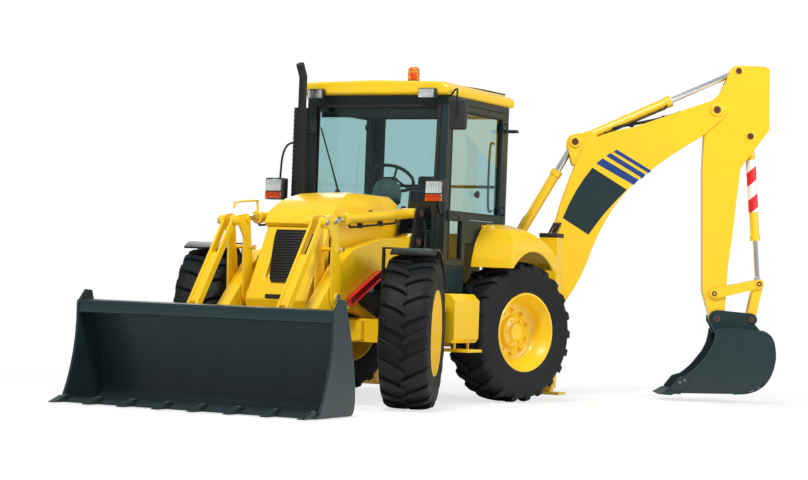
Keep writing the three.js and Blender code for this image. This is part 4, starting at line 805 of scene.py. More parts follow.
# %% [markdown]
# ## Lamps, mirror, wiper and beacon
#
# A headlamp and an indicator share one black pod on either side of the hood. Two work lamps sit under the
# roof's front corners, and an amber beacon stands on the roof. A lens is a shallow turned or rounded plate
# over a bright reflector.

# %% Helper for lamps
def lamp(name, low, high, lens_material, body="root", ribs=5):
    """A lens block in front of its reflector, with fine ribs moulded in its face."""
    width = high.x - low.x
    bright = block(Vector((low.x, low.y + 0.012, low.z)), high, 0.004)
    to_piece(f"{name}_reflector", bright, body, [reflector])
    ribbed = [block(low, Vector((high.x, low.y + 0.010, high.z)), 0.003)]
    for i in range(ribs):
        x = low.x + width * (i + 1) / (ribs + 1)
        ribbed.append(block(Vector((x - 0.003, low.y - 0.003, low.z + 0.006)),
                            Vector((x + 0.003, low.y + 0.002, high.z - 0.006)), 0.001))
    to_piece(f"{name}_lens", merged(ribbed), body, [lens_material])


# %% Lamp pods
for side, way in (("left", 1), ("right", -1)):
    x = way * 0.82
    shell = block(at(x - 0.095, -0.40, 1.805), at(x + 0.095, -0.30, 2.005), 0.014, 3)
    to_piece(f"{side}_lamp_pod", shell, "root", [black_plastic])
    lamp(f"{side}_headlamp", at(x - 0.078, -0.420, 1.885), at(x + 0.078, -0.392, 1.990), clear_lens)
    lamp(f"{side}_indicator", at(x - 0.080, -0.424, 1.815), at(x + 0.080, -0.392, 1.875), amber_lens)
    arm_route = curved([at(way * 0.70, 0.03, 1.72), at(way * 0.74, -0.12, 1.74), at(way * 0.80, -0.27, 1.82),
                        at(way * 0.81, -0.33, 1.90)], 4)
    to_piece(f"{side}_lamp_arm", pipe(arm_route, 0.016, 12), "root", [satin_black])
    shell = block(at(way * 0.575 - 0.085, -0.135, 2.755), at(way * 0.575 + 0.085, -0.070, 2.850), 0.012, 3)
    to_piece(f"{side}_work_lamp_body", shell, "root", [black_plastic])
    lamp(f"{side}_work_lamp", at(way * 0.575 - 0.074, -0.151, 2.764), at(way * 0.575 + 0.074, -0.125, 2.841),
         clear_lens)
    shell = block(at(way * 0.55 - 0.08, 1.415, 2.80), at(way * 0.55 + 0.08, 1.470, 2.895), 0.012, 3)
    to_piece(f"{side}_rear_work_lamp_body", shell, "root", [black_plastic])
    glow_face = block(at(way * 0.55 - 0.068, 1.468, 2.812), at(way * 0.55 + 0.068, 1.478, 2.883), 0.003)
    to_piece(f"{side}_rear_work_lamp_lens", glow_face, "root", [clear_lens])
right_rail = curved([at(-0.80, -0.33, 1.98), at(-0.79, -0.32, 2.20), at(-0.76, -0.29, 2.31), at(-0.70, -0.27, 2.34)], 4)
to_piece("right_lamp_stay", pipe(right_rail, 0.010, 10), "root", [satin_black])
print("lamps ready")

# %% Beacon
beacon_base = placed_turning([(0, 0), (0, 0.068), (0.012, 0.070), (0.030, 0.060), (0.036, 0.055), (0.036, 0)],
                             at(0.25, 0.25, 2.922), (0, 0, 1), 32)
to_piece("beacon_base", beacon_base, "root", [black_plastic])
dome = [(0, 0), (0, 0.052), (0.012, 0.055), (0.016, 0.052), (0.024, 0.055), (0.060, 0.055), (0.064, 0.052),
        (0.072, 0.054), (0.104, 0.050), (0.122, 0.036), (0.128, 0.016), (0.129, 0)]
to_piece("beacon_dome", placed_turning(dome, at(0.25, 0.25, 2.959), (0, 0, 1), 40), "root",
         [amber_lens])
to_piece("beacon_bulb", placed_turning([(0, 0), (0, 0.022), (0.06, 0.022), (0.075, 0.012), (0.078, 0)],
                                       at(0.25, 0.25, 2.960), (0, 0, 1), 16), "root", [amber_body])
conduit = curved([at(0.31, 0.27, 2.945), at(0.40, 0.50, 2.950), at(0.56, 0.95, 2.948), at(0.70, 1.36, 2.925)], 5)
to_piece("roof_conduit", pipe(conduit, 0.007, 8), "root", [satin_black])
rear_knob = placed_turning([(0, 0), (0, 0.016), (0.006, 0.028), (0.024, 0.030), (0.040, 0.020), (0.044, 0)],
                           at(0.70, 1.36, 2.895), (0, 0, 1), 20)
to_piece("roof_marker", rear_knob, "root", [white_enamel])
print("beacon ready")

# %% Mirror
mirror_shell = block(at(0.815, -0.155, 2.47), at(0.985, -0.100, 2.75), 0.022, 4)
to_piece("left_mirror_shell", mirror_shell, "root", [black_plastic])
to_piece("left_mirror_glass", block(at(0.830, -0.102, 2.487), at(0.970, -0.0965, 2.733), 0.002), "root",
         [reflector])
mirror_arm = curved([at(0.735, 0.045, 2.79), at(0.83, -0.06, 2.84), at(0.89, -0.145, 2.83), at(0.90, -0.168, 2.74),
                     at(0.895, -0.168, 2.60)], 5)
to_piece("left_mirror_arm", pipe(mirror_arm, 0.009, 10), "root", [satin_black])
small_mirror = block(at(0.735, 1.30, 2.555), at(0.845, 1.36, 2.585), 0.008, 3)
to_piece("rear_side_marker", small_mirror, "root", [black_plastic])
print("mirror ready")

# %% Wiper
pivot, tip = at(-0.20, 0.0, 1.45), at(-0.46, 0.0, 2.20)
low_end, high_end = at(-0.35, -0.002, 1.88), at(-0.57, -0.002, 2.50)
wiper = [placed_turning([(0, 0), (0, 0.022), (0.012, 0.024), (0.022, 0.016), (0.026, 0)], pivot + Vector((0, 0.006, 0)),
                        (0, -1, 0), 16),
         pipe([pivot + Vector((0, -0.016, 0)), pivot.lerp(tip, 0.5) + Vector((0, -0.022, 0)),
               tip + Vector((0, -0.012, 0))], 0.008, 8, 0.005),
         block(Vector((-0.006, -0.006, 0)), Vector((0.006, 0.006, (high_end - low_end).length)), 0.002)]
wiper[2].transform(Matrix.Translation(low_end) @ turn_between((0, 0, 1), high_end - low_end))
to_piece("windscreen_wiper", merged(wiper), "root", [black_plastic])
print("wiper ready")

# %% Door handles and latches
for side, way in (("left", 1), ("right", -1)):
    knob = placed_turning([(0, 0), (0, 0.012), (0.016, 0.012), (0.018, 0.030), (0.030, 0.036), (0.042, 0.030),
                           (0.046, 0)], at(way * 0.713, 0.68, 1.93), (way, 0, 0), 24)
    to_piece(f"{side}_door_knob", knob, f"{side}_door", [black_plastic])
    near_x, far_x = sorted((way * 0.730, way * 0.752))
    latch = [block(at(near_x, 0.075, 1.66), at(far_x, 0.115, 1.76), 0.006),
             pipe(curved([at(way * 0.748, 0.095, 1.73), at(way * 0.790, 0.12, 1.725), at(way * 0.795, 0.20, 1.70),
                          at(way * 0.772, 0.27, 1.68)], 4), 0.011, 10)]
    to_piece(f"{side}_door_latch", merged(latch), f"{side}_door", [black_plastic])
    rail = curved([at(way * 0.672, 1.18, 1.80), at(way * 0.635, 1.16, 1.84), at(way * 0.635, 1.16, 2.40),
                   at(way * 0.672, 1.18, 2.44)], 4)
    to_piece(f"{side}_grab_rail", pipe(rail, 0.011, 10), f"{side}_door", [satin_black])
print("door handles ready")

# %% [markdown]
# ## Exhaust
#
# The guard round the exhaust is a perforated tube: rows of short slots let air reach the hot pipe and keep
# hands away from it. The slots are small thin ovals laid on the guard, painted near-black: painted shade
# that stands in for the openings.

# %% One slot of the guard
SLOT_ROWS, SLOTS_ROUND, ROW_GAP = 22, 16, 0.040
guard_foot = at(-0.64, -0.25, 0)
one = bmesh.new()
bmesh.ops.create_circle(one, cap_ends=True, segments=8, radius=0.011)
bmesh.ops.scale(one, vec=(0.62, 1.0, 1.0), verts=one.verts)
thickened(one, one.faces[:], Vector((0, 0, 0.0022)))
one.transform(Matrix.Rotation(radians(90), 4, "Y"))
slot_mesh = bpy.data.meshes.new("slot")
one.to_mesh(slot_mesh)
one.free()
print("slot with", len(slot_mesh.polygons), "faces")

# %% Perforated guard
slots = bmesh.new()
for row in range(SLOT_ROWS):
    for step in range(SLOTS_ROUND):
        turn_here = 2 * pi * (step + 0.5 * (row % 2)) / SLOTS_ROUND
        first = len(slots.verts)
        slots.from_mesh(slot_mesh)
        slots.verts.ensure_lookup_table()
        bmesh.ops.translate(slots, vec=(0.0715, 0, 1.78 + row * ROW_GAP), verts=slots.verts[first:])
        bmesh.ops.rotate(slots, cent=(0, 0, 0), matrix=Matrix.Rotation(turn_here, 3, "Z"), verts=slots.verts[first:])
bpy.data.meshes.remove(slot_mesh)
bmesh.ops.translate(slots, vec=guard_foot, verts=slots.verts)
# The near-black finish of the guard slots, nose slots and hood vents is painted shade that stands in for their
# openings.
hole_shade = finish("painted_hole_shade", (0.003, 0.003, 0.003), 0.8, drift=0.2, dust=0.0)
to_piece("exhaust_guard_slots", slots, "root", [hole_shade])
print("exhaust guard ready")

# %% [markdown]
# ## Nose grille and hood
#
# The radiator breathes through a dark grille in the sloping nose, wide at the top and narrow at its foot,
# with a slot below it. The grille is a plate laid on the slope with its corners rounded, and a stack of
# slats across it. Slats are real bars here, so that they catch the light one by one.

# %% Grille
SLOPE = (Vector((0, -1.640, 1.040)) - Vector((0, -1.370, 1.530))).normalized()
OUT_OF_NOSE = Vector((0, SLOPE.z, -SLOPE.y)).normalized()


def on_nose(x, z, proud=0.0):
    """A point of the nose's sloping face, at a height, standing proud of it."""
    return at(x, -1.370 - (1.530 - z) * 0.551, z) + OUT_OF_NOSE * proud


def half_width(z):
    """Half the grille's width at a height: it narrows downwards along a gentle curve."""
    t = (1.495 - z) / 0.455
    return 0.200 - 0.070 * t - 0.030 * t ** 3


heights = [1.495, 1.44, 1.36, 1.28, 1.20, 1.12, 1.07, 1.045]
widths = [0.190, *[half_width(z) for z in heights[1:-1]], 0.085]
grille_outline = [on_nose(w, z, 0.001) for w, z in zip(widths, heights)]
grille_outline += [on_nose(-w, z, 0.001) for w, z in reversed(list(zip(widths, heights)))]
to_piece("grille_panel", flat(grille_outline, OUT_OF_NOSE * 0.010, 0.003), "root", [black_plastic])
rim_outline = [p + OUT_OF_NOSE * 0.008 for p in grille_outline]
to_piece("grille_rim", ring(rim_outline, 0.012, OUT_OF_NOSE * 0.008), "root", [satin_black])
slats = []
SLATS, SLAT_GAP = 17, 0.0235
for i in range(SLATS):
    z = 1.462 - i * SLAT_GAP
    width = half_width(z) - 0.022
    slat = block(Vector((-width, -0.005, -0.0045)), Vector((width, 0.005, 0.0045)), 0.002)
    slat.transform(Matrix.Translation(on_nose(0, z, 0.014)) @ turn_between((0, -1, 0), OUT_OF_NOSE))
    slats.append(slat)
to_piece("grille_slats", merged(slats), "root", [satin_black])
print("grille with", len(slats), "slats")

# %% Slots and vents
slot_line = lambda x, z: at(x, -1.640 - (1.040 - z) * 0.536, z)
slot_out = Vector((0, -0.882, 0.472))
# Each slot and vent is a flat near-black plate: painted shade in place of an opening.
for name, left, right_end in (("nose_slot", -0.11, 0.07), ("nose_side_slot", 0.135, 0.165)):
    shape = [(left, 0.925), (left + 0.012, 0.905), (right_end - 0.012, 0.905), (right_end, 0.925),
             (right_end, 0.940), (left, 0.940)]
    to_piece(name, flat([slot_line(x, z) + slot_out * 0.001 for x, z in shape], slot_out * 0.005), "root",
             [hole_shade])
for side, way in (("left", 1), ("right", -1)):
    vent = [(-0.69, 1.655), (-0.62, 1.655), (-0.585, 1.712), (-0.655, 1.712)]
    lean = lambda y, z: at(way * (0.3255 - (z - 1.64) * 0.2667), y, z)
    to_piece(f"{side}_hood_vent", flat([lean(y, z) for y, z in vent], Vector((way * 0.004, 0, 0.001))), "hood",
             [hole_shade])
    near_x, far_x = sorted((way * 0.324, way * 0.334))
    catch = block(at(near_x, -0.98, 1.36), at(far_x, -0.90, 1.39), 0.003)
    to_piece(f"{side}_hood_catch", catch, "hood", [black_plastic])
print("slots and vents ready")

# %% [markdown]
# ## Loader fittings
#
# Every joint of the loader turns on a pin. A pin shows as a turned head with a chamfered rim and a keeper
# bolt beside it. The tilt cylinders carry a yellow gland nut, and a pressure pipe clamped along the barrel.
# A red strut is stowed along the left arm: it props the raised arms while someone works beneath them.

# %% Pin heads
PIN_HEAD = [(0, 0), (0, 1.0), (0.20, 1.0), (0.30, 0.90), (0.30, 0.42), (0.22, 0.36), (0.22, 0)]


def pin_head(place, axis, radius, steps=28):
    """A pin's end: a disc with a chamfer and a shallow centre recess."""
    return placed_turning([(x * 0.040, r * radius) for x, r in PIN_HEAD], place, axis, steps)


def hex_bolt(place, axis, radius):
    """A bolt head: six-sided, on a round washer."""
    head = pipe([place + Vector(axis) * 0.002, place + Vector(axis) * (0.002 + radius * 0.7)], radius, 6)
    washer = pipe([place, place + Vector(axis) * 0.003], radius * 1.45, 16)
    return merged([head, washer])


ARM_X = 0.430
loader_pins = {"tilt_levers": [(-1.580, 0.930, 0.098, 0.034), (-1.645, 1.580, 0.098, 0.024),
                               (-1.800, 1.560, 0.098, 0.022)],
               "root": [(-0.100, 1.450, 0.104, 0.036), (-0.060, 1.715, 0.104, 0.034), (-0.120, 0.520, 0.104, 0.034)],
               "loader_bucket": [(-2.330, 0.280, 0.088, 0.036), (-2.430, 0.680, 0.088, 0.030)]}
for body, pins in loader_pins.items():
    heads = []
    for y, z, reach, radius in pins:
        for side in (1, -1):
            for face in (1, -1):
                if body == "tilt_levers" and face != side:
                    continue
                place = at(side * ARM_X + face * reach, y, z)
                heads.append(pin_head(place, (face, 0, 0), radius))
                if face == side:
                    keeper = place + Vector((0, -radius - 0.002, -radius * 0.9)) - Vector((face * 0.001, 0, 0))
                    heads.append(hex_bolt(keeper, (face, 0, 0), 0.008))
    to_piece(f"{body}_pins", merged(heads), body, [bare_steel if body == "tilt_levers" else pin_steel])
spacers = []
for side in (1, -1):
    for face in (1, -1):
        spacers.append(placed_turning([(0, 0), (0, 0.020), (0.03, 0.020), (0.034, 0.016), (0.034, 0)],
                                      at(side * ARM_X + face * 0.095, -1.560, 1.340), (face, 0, 0), 20))
to_piece("lever_spacer_ends", merged(spacers), "tilt_levers", [chrome])
print("loader pins ready")

# %% Glands and pipes on the tilt cylinders
tilt_foot, tilt_eye = Vector((0, -0.060, 1.715)), Vector((0, -1.645, 1.580))
along_tilt = (tilt_eye - tilt_foot).normalized()
under_tilt = Vector((0, -along_tilt.z, along_tilt.y))
under_tilt = -under_tilt if under_tilt.z > 0 else under_tilt
PIPE_OUT = 0.02
PIPE_RUN = [(0.34, 0.046), (0.36, 0.070), (0.50, 0.074), (1.14, 0.074), (1.21, 0.070), (1.23, 0.046)]


def on_tilt(way, d, drop=0.0, out=0.0):
    """A point of one side's tilt cylinder, d metres from its rear pin, and how far below and outside it."""
    return at(way * ARM_X, 0, 0) + tilt_foot + along_tilt * d + under_tilt * drop + Vector((way * out, 0, 0))


for side, way in (("left", 1), ("right", -1)):
    gland = turned([(0, 0.0540), (0.002, 0.0560), (0.060, 0.0560), (0.0635, 0.0520), (0.0635, 0.0270),
                    (0.0615, 0.0270), (0.0615, 0.0530), (0.001, 0.0530)], 32)
    gland.transform(Matrix.Translation(on_tilt(way, 1.229)) @ turn_between((1, 0, 0), along_tilt))
    to_piece(f"{side}_tilt_gland", gland, "tilt_barrels", [yellow])
    clamps = [pipe(curved([on_tilt(way, d, drop, PIPE_OUT) for d, drop in PIPE_RUN], 5), 0.010, 12)]
    for d in (0.62, 1.0):
        place = on_tilt(way, d)
        clamps.append(block(place + Vector((-0.016, -0.014, -0.090)), place + Vector((0.030, 0.014, -0.046)), 0.004))
    to_piece(f"{side}_tilt_pipe", merged(clamps), "tilt_barrels", [satin_black])
print("glands and pipes ready")

# %% Level indicator on the right-hand side
INDICATOR_BENDS = [(-1.30, 1.655), (-1.31, 1.735), (-1.34, 1.752), (-1.66, 1.722), (-1.69, 1.700), (-1.70, 1.668)]
indicator = curved([at(-ARM_X - 0.02, y, z) for y, z in INDICATOR_BENDS], 4)
foot = block(at(-ARM_X - 0.034, -1.318, 1.628), at(-ARM_X - 0.006, -1.284, 1.668), 0.004)
to_piece("bucket_level_indicator", merged([pipe(indicator, 0.010, 10), foot]), "tilt_barrels", [yellow])
print("level indicator ready")

# %% Safety strut along the left arm
strut_low, strut_high = at(0.522, -1.36, 0.895), at(0.522, -0.80, 1.150)
length = (strut_high - strut_low).length
strut = bmesh.new()
bmesh.ops.create_cube(strut, size=1.0)
bmesh.ops.scale(strut, vec=(0.044, length, 0.074), verts=strut.verts)
outer = max(strut.faces, key=lambda f: f.calc_center_median().x)
bmesh.ops.inset_region(strut, faces=[outer], thickness=0.010)
bmesh.ops.translate(strut, vec=(-0.022, 0, 0), verts=outer.verts)
bevelled(strut, strut.edges[:], 0.003)
strut_turn = turn_between((0, 1, 0), strut_high - strut_low)
strut.transform(Matrix.Translation((strut_low + strut_high) / 2) @ strut_turn)
to_piece("safety_strut", strut, "loader_arms", [red_enamel])
ties = []
for share in (0.12, 0.9):
    place = strut_low.lerp(strut_high, share)
    ties.append(hex_bolt(place + Vector((-0.006, 0, 0)), (1, 0, 0), 0.014))
    ties.append(pipe([place + Vector((-0.034, 0, 0)), place + Vector((-0.006, 0, 0))], 0.012, 12))
to_piece("safety_strut_bolts", merged(ties), "loader_arms", [bare_steel])
print("strut", round(length, 3), "m long")

# %% Hoses beside the loader tower
for side, way in (("left", 1), ("right", -1)):
    hoses = []
    for i in range(3):
        x = way * 0.552
        back = 0.030 * i
        hoses.append(pipe(curved([at(x, -0.050 + back * 0.4, 1.640), at(x, 0.012 + back * 0.3, 1.520 - back),
                                  at(x, 0.004 + back * 0.6 - 0.04, 1.300), at(x, -0.100 + back, 1.120),
                                  at(x, -0.150 + back, 1.020)], 5), 0.011, 10))
    to_piece(f"{side}_tower_hoses", merged(hoses), "root", [seal_rubber])
print("tower hoses ready")

# %% [markdown]
# ## Backhoe fittings
#
# The digging arm carries painted stripes and a plain dark panel on the boom, a red and white band round the
# bucket cylinder so that passers-by see it move, greased pins, and hoses along the boom's back. Paint areas
# are plates a millimetre and a half thick, so they export as real shapes and need no image.

# %% Stripes and panel
stripes = {"lower": [(1.208, 2.420), (1.581, 2.216), (1.534, 2.161), (1.146, 2.365)],
           "middle": [(1.2835, 2.478), (1.649, 2.271), (1.621, 2.231), (1.244, 2.4455)],
           "upper": [(1.349, 2.515), (1.708, 2.312), (1.681, 2.287), (1.316, 2.490)]}
panel = [(1.108, 2.322), (1.465, 2.112), (1.372, 2.010), (1.250, 1.868), (1.160, 1.742), (1.092, 1.640),
         (0.826, 1.800), (0.880, 1.935), (0.950, 2.080), (1.030, 2.212)]
BOOM_SIDE = 0.1052
for side, way in (("near", 1), ("far", -1)):
    for name, corners in stripes.items():
        band = flat([on_hoe(r, z, way * BOOM_SIDE) for r, z in corners], HOE_SIDE * way * 0.0015)
        to_piece(f"boom_{side}_{name}_stripe", band, "boom", [blue_film])
    plate_here = flat([on_hoe(r, z, way * BOOM_SIDE) for r, z in panel], HOE_SIDE * way * 0.0015)
    to_piece(f"boom_{side}_panel", plate_here, "boom", [slate])
print("boom paint ready")

# %% Red and white film
banded = bpy.data.materials.new("banded_film")
banded.use_nodes = True
nodes, links = banded.node_tree.nodes, banded.node_tree.links
spot = nodes.new("ShaderNodeSeparateXYZ")
links.new(nodes.new("ShaderNodeTexCoord").outputs["Object"], spot.inputs[0])
sideways = nodes.new("ShaderNodeVectorMath")
sideways.operation = "DOT_PRODUCT"
links.new(nodes.new("ShaderNodeTexCoord").outputs["Object"], sideways.inputs[0])
sideways.inputs[1].default_value = HOE_OUT
lean_share = arithmetic(nodes, links, "MULTIPLY", sideways.outputs["Value"], 0.9)
slant = arithmetic(nodes, links, "SUBTRACT", spot.outputs["Z"], lean_share)
step = arithmetic(nodes, links, "FRACT", arithmetic(nodes, links, "DIVIDE", slant, 0.30), 0.0)
in_red = arithmetic(nodes, links, "GREATER_THAN", step, 0.5)
colour = colour_mix(nodes, links, in_red, (0.80, 0.80, 0.78), (0.70, 0.010, 0.020))
grime = effect(nodes, dust_group, Amount=0.08)
dusted = colour_mix(nodes, links, grime.outputs["Mask"], colour, (0.33, 0.27, 0.19))
links.new(dusted, nodes["Principled BSDF"].inputs["Base Color"])
nodes["Principled BSDF"].inputs["Roughness"].default_value = 0.32
print("banded film ready")

# %% The band round the bucket cylinder
hoe_base, hoe_end = Vector((2.700, 2.700)), Vector((2.836, 1.205))
hoe_line = (hoe_end - hoe_base).normalized()


def on_hoe_cylinder(d, side=0.0, off=0.0):
    """A point of the bucket cylinder's line, d metres from its upper pin."""
    spot_here = hoe_base + hoe_line * d + Vector((-hoe_line.y, hoe_line.x)) * off
    return on_hoe(spot_here.x, spot_here.y, side)


barrel_low, barrel_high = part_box("bucket_barrel")
BAND_FROM, BAND_TO, BARREL_RADIUS = 0.235, 0.770, 0.0475
skin = [(0, BARREL_RADIUS), (0.002, BARREL_RADIUS + 0.002), (BAND_TO - BAND_FROM - 0.002, BARREL_RADIUS + 0.002),
        (BAND_TO - BAND_FROM, BARREL_RADIUS), (BAND_TO - BAND_FROM - 0.004, BARREL_RADIUS - 0.004),
        (0.004, BARREL_RADIUS - 0.004)]
band = turned(skin, 40)
down = on_hoe_cylinder(1.0) - on_hoe_cylinder(0.0)
band.transform(Matrix.Translation(on_hoe_cylinder(BAND_FROM)) @ turn_between((1, 0, 0), down))
to_piece("bucket_cylinder_band", band, "bucket_barrel", [banded])
print("bucket barrel box", [round(v, 3) for v in (*barrel_low, *barrel_high)])

# %% Pins of the digging arm
DIPPER_HALF = 0.085
hoe_pins = {"boom": [((0.480, 0.620), 0.119, 0.036), ((0.925, 2.580), 0.104, 0.034), ((2.350, 2.955), 0.119, 0.036)],
            "dipper": [((2.560, 3.360), DIPPER_HALF, 0.030), ((2.700, 2.700), DIPPER_HALF, 0.032)],
            "hoe_lever": [((2.385, 1.090), 0.1155, 0.028), ((2.836, 1.205), 0.1155, 0.028)],
            "hoe_bucket": [((2.420, 0.840), 0.1155, 0.034), ((2.767, 0.842), 0.1155, 0.030)]}
for body, pins in hoe_pins.items():
    heads, washers = [], []
    for (r, z), reach, radius in pins:
        for way in (1, -1):
            washer = [(0, 0), (0, radius * 1.65), (0.004, radius * 1.65), (0.006, radius * 1.5), (0.006, 0)]
            washers.append(placed_turning(washer, on_hoe(r, z, way * (reach - 0.001)), HOE_SIDE * way, 32))
            heads.append(pin_head(on_hoe(r, z, way * (reach + 0.004)), HOE_SIDE * way, radius))
    to_piece(f"{body}_pin_heads", merged(heads), body, [pin_steel])
    finish_here = slate if body == "hoe_bucket" else yellow
    to_piece(f"{body}_pin_washers", merged(washers), body, [finish_here])
print("pins of the digging arm ready")

# %% Hoses and pipes
boom_hoses = []
for i in range(3):
    side = 0.046 - 0.046 * i
    route = [on_hoe(1.30, 2.730, side), on_hoe(1.40, 2.762, side), on_hoe(1.70, 2.830, side),
             on_hoe(1.90, 2.890, side), on_hoe(1.99, 2.925, side)]
    boom_hoses.append(pipe(curved(route, 5), 0.013, 10))
to_piece("boom_hoses", merged(boom_hoses), "boom", [seal_rubber])
clamps = []
for r, z in ((1.50, 2.772), (1.82, 2.852)):
    bar_here = block(Vector((-0.018, -0.070, -0.014)), Vector((0.018, 0.070, 0.030)), 0.004)
    bar_here.transform(Matrix.Translation(on_hoe(r, z, 0)) @ Matrix.Rotation(atan2(HOE_OUT.y, HOE_OUT.x), 4, "Z"))
    clamps.append(bar_here)
to_piece("boom_hose_clamps", merged(clamps), "boom", [satin_black])
foot_hoses = []
for i in range(3):
    side = 0.118
    shift = 0.030 * i
    route = [on_hoe(0.560 + shift, 1.060, side), on_hoe(0.585 + shift, 1.300, side + 0.012),
             on_hoe(0.660 + shift, 1.560, side + 0.004), on_hoe(0.745 + shift, 1.750, side)]
    foot_hoses.append(pipe(curved(route, 5), 0.012, 10))
to_piece("boom_foot_hoses", merged(foot_hoses), "boom", [seal_rubber])
print("hoses ready")

# %% Pressure pipes on the two big cylinders
for name, body, base, tip, start, stop, offset in (
        ("boom_cylinder_pipe", "boom_barrel", (0.130, 1.130), (0.925, 2.580), 0.30, 0.74, -0.074),
        ("dipper_cylinder_pipe", "dipper_barrel", (0.925, 2.580), (2.560, 3.360), 0.32, 0.98, 0.082)):
    a, b = Vector(base), Vector(tip)
    way_along = (b - a).normalized()
    away = Vector((way_along.y, -way_along.x))
    spot_on = lambda d, off: on_hoe(*(a + way_along * d + away * off * 0.62), off * 0.80)
    route = curved([spot_on(start, offset * 0.6), spot_on(start + 0.02, offset), spot_on(start + 0.12, offset),
                    spot_on(stop - 0.1, offset), spot_on(stop, offset), spot_on(stop + 0.02, offset * 0.6)], 5)
    to_piece(name, pipe(route, 0.010, 12), body, [satin_black])
print("cylinder pipes ready")

# %% Stabiliser caps
for side, way in (("left", 1), ("right", -1)):
    cap = block(at(way * 0.96 - 0.100, 1.985 - 0.082, 1.578), at(way * 0.96 + 0.100, 1.985 + 0.082, 1.622), 0.010, 3)
    to_piece(f"{side}_leg_cap", cap, "root", [black_plastic])
print("stabiliser caps ready")

# %% [markdown]
# ## Buckets
#
# Both buckets have bolt-on wear parts. The loader bucket carries a row of teeth on its cutting edge; each is
# held by two bolts. The digging bucket has a side cutter bolted to each cheek, just behind the corner tooth,
# and three wear bands welded round its back. A band is a flat crescent between two curves, pushed sideways.

# %% Tooth bolts
bolts = []
TEETH, BUCKET_HALF, TOOTH_INSET = 8, 1.210, 0.055
for i in range(TEETH):
    x = -BUCKET_HALF + TOOTH_INSET + i * 2 * (BUCKET_HALF - TOOTH_INSET) / (TEETH - 1)
    for y in (-3.085, -3.060):
        bolts.append(placed_turning([(0, 0), (0, 0.011), (0.005, 0.010), (0.007, 0)], at(x, y, 0.0635), (0, 0, 1), 12))
to_piece("tooth_bolts", merged(bolts), "loader_bucket", [worn_steel])
print(len(bolts), "tooth bolts")

# %% Side cutters of the digging bucket
HOE_HALF_WIDTH = 0.305
cutter = [(1.950, 0.132), (2.030, 0.238), (2.105, 0.262), (2.150, 0.222), (2.095, 0.120), (1.985, 0.098)]
cutter_bolts = []
for name, way in (("near", 1), ("far", -1)):
    outer_face = way * (HOE_HALF_WIDTH + 0.0003)
    plate_here = flat([on_hoe(r, z, outer_face) for r, z in cutter], HOE_SIDE * way * 0.012, 0.002)
    to_piece(f"{name}_side_cutter", plate_here, "hoe_bucket", [slate])
    for r, z in ((2.045, 0.190), (2.092, 0.212)):
        cutter_bolts.append(hex_bolt(on_hoe(r, z, outer_face + way * 0.012), HOE_SIDE * way, 0.011))
to_piece("side_cutter_bolts", merged(cutter_bolts), "hoe_bucket", [worn_steel])
print("side cutters ready")

# %% Wear bands round the back
back_curve = [(2.600, 0.092), (2.740, 0.106), (2.850, 0.152), (2.930, 0.232), (2.978, 0.335), (3.000, 0.450),
              (2.996, 0.545), (2.978, 0.625), (2.944, 0.687)]
middle_of_bowl = Vector((2.62, 0.43))
inner = curved([Vector((r, z, 0)) for r, z in back_curve], 3)
outer = []
for point in inner:
    away = (point.to_2d() - middle_of_bowl).normalized()
    outer.append(point + Vector((away.x, away.y, 0)) * 0.010)
bands = []
for side in (-0.235, -0.030, 0.175):
    outline = [on_hoe(p.x, p.y, side) for p in inner] + [on_hoe(p.x, p.y, side) for p in reversed(outer)]
    bands.append(flat(outline, HOE_SIDE * 0.060))
to_piece("wear_bands", merged(bands), "hoe_bucket", [slate])
print("wear bands ready")

# %% Stiffening beam along the loader bucket's top lip
LIP_TOP = 0.850
lip_section = [(-2.879, LIP_TOP - 0.0305), (-2.879, LIP_TOP - 0.105), (-2.860, LIP_TOP - 0.112),
               (-2.735, LIP_TOP - 0.040)]
lip_beam = flat([at(-1.187, y, z) for y, z in lip_section], Vector((2.374, 0, 0)), 0.003)
to_piece("bucket_lip_beam", lip_beam, "loader_bucket", [slate])
print("lip beam ready")

# %% [markdown]
# ## Seat
#
# The driver sits on foam pads in a woven cover: a base cushion, a back cushion and a headrest. Foam crowns
# in the middle and is pulled in at its seams. Each pad starts as a rounded block. A cloth simulation under
# pressure swells it a little, with the travel of each point capped, and then the sewn channels are pressed
# into its face. The weave is a pattern in the cloth's finish, because it is finer than any mesh.

# %% Seat cloth
seat_cloth = bpy.data.materials.new("woven_seat_cloth")
seat_cloth.use_nodes = True
nodes, links = seat_cloth.node_tree.nodes, seat_cloth.node_tree.links
threads = []
for direction in ("X", "Z"):
    wave = nodes.new("ShaderNodeTexWave")
    wave.bands_direction = direction
    wave.inputs["Scale"].default_value = 90.0
    wave.inputs["Distortion"].default_value = 0.6
    links.new(nodes.new("ShaderNodeTexCoord").outputs["Object"], wave.inputs["Vector"])
    threads.append(wave.outputs["Fac"])
weave = arithmetic(nodes, links, "MULTIPLY", threads[0], threads[1])
faded = noise(nodes, links, 7.0, 4)
woven_share = arithmetic(nodes, links, "MULTIPLY", weave, 0.6)
faded_share = arithmetic(nodes, links, "MULTIPLY", faded.outputs[0], 0.4)
lightness = arithmetic(nodes, links, "ADD", woven_share, faded_share)
tones = colour_mix(nodes, links, lightness, (0.024, 0.028, 0.031), (0.062, 0.068, 0.074))
shader = nodes["Principled BSDF"]
links.new(tones, shader.inputs["Base Color"])
shader.inputs["Roughness"].default_value = 0.88
shader.inputs["Sheen Weight"].default_value = 0.35
shader.inputs["Sheen Roughness"].default_value = 0.5
nap = nodes.new("ShaderNodeBump")
nap.inputs["Distance"].default_value = 0.001
nap.inputs["Strength"].default_value = 0.5
links.new(weave, nap.inputs["Height"])
links.new(nap.outputs[0], shader.inputs["Normal"])
seat_vinyl = finish("seat_shell", (0.012, 0.013, 0.014), 0.5, drift=0.1, dust=0.05, ripple=0.2)
print("seat cloth ready")


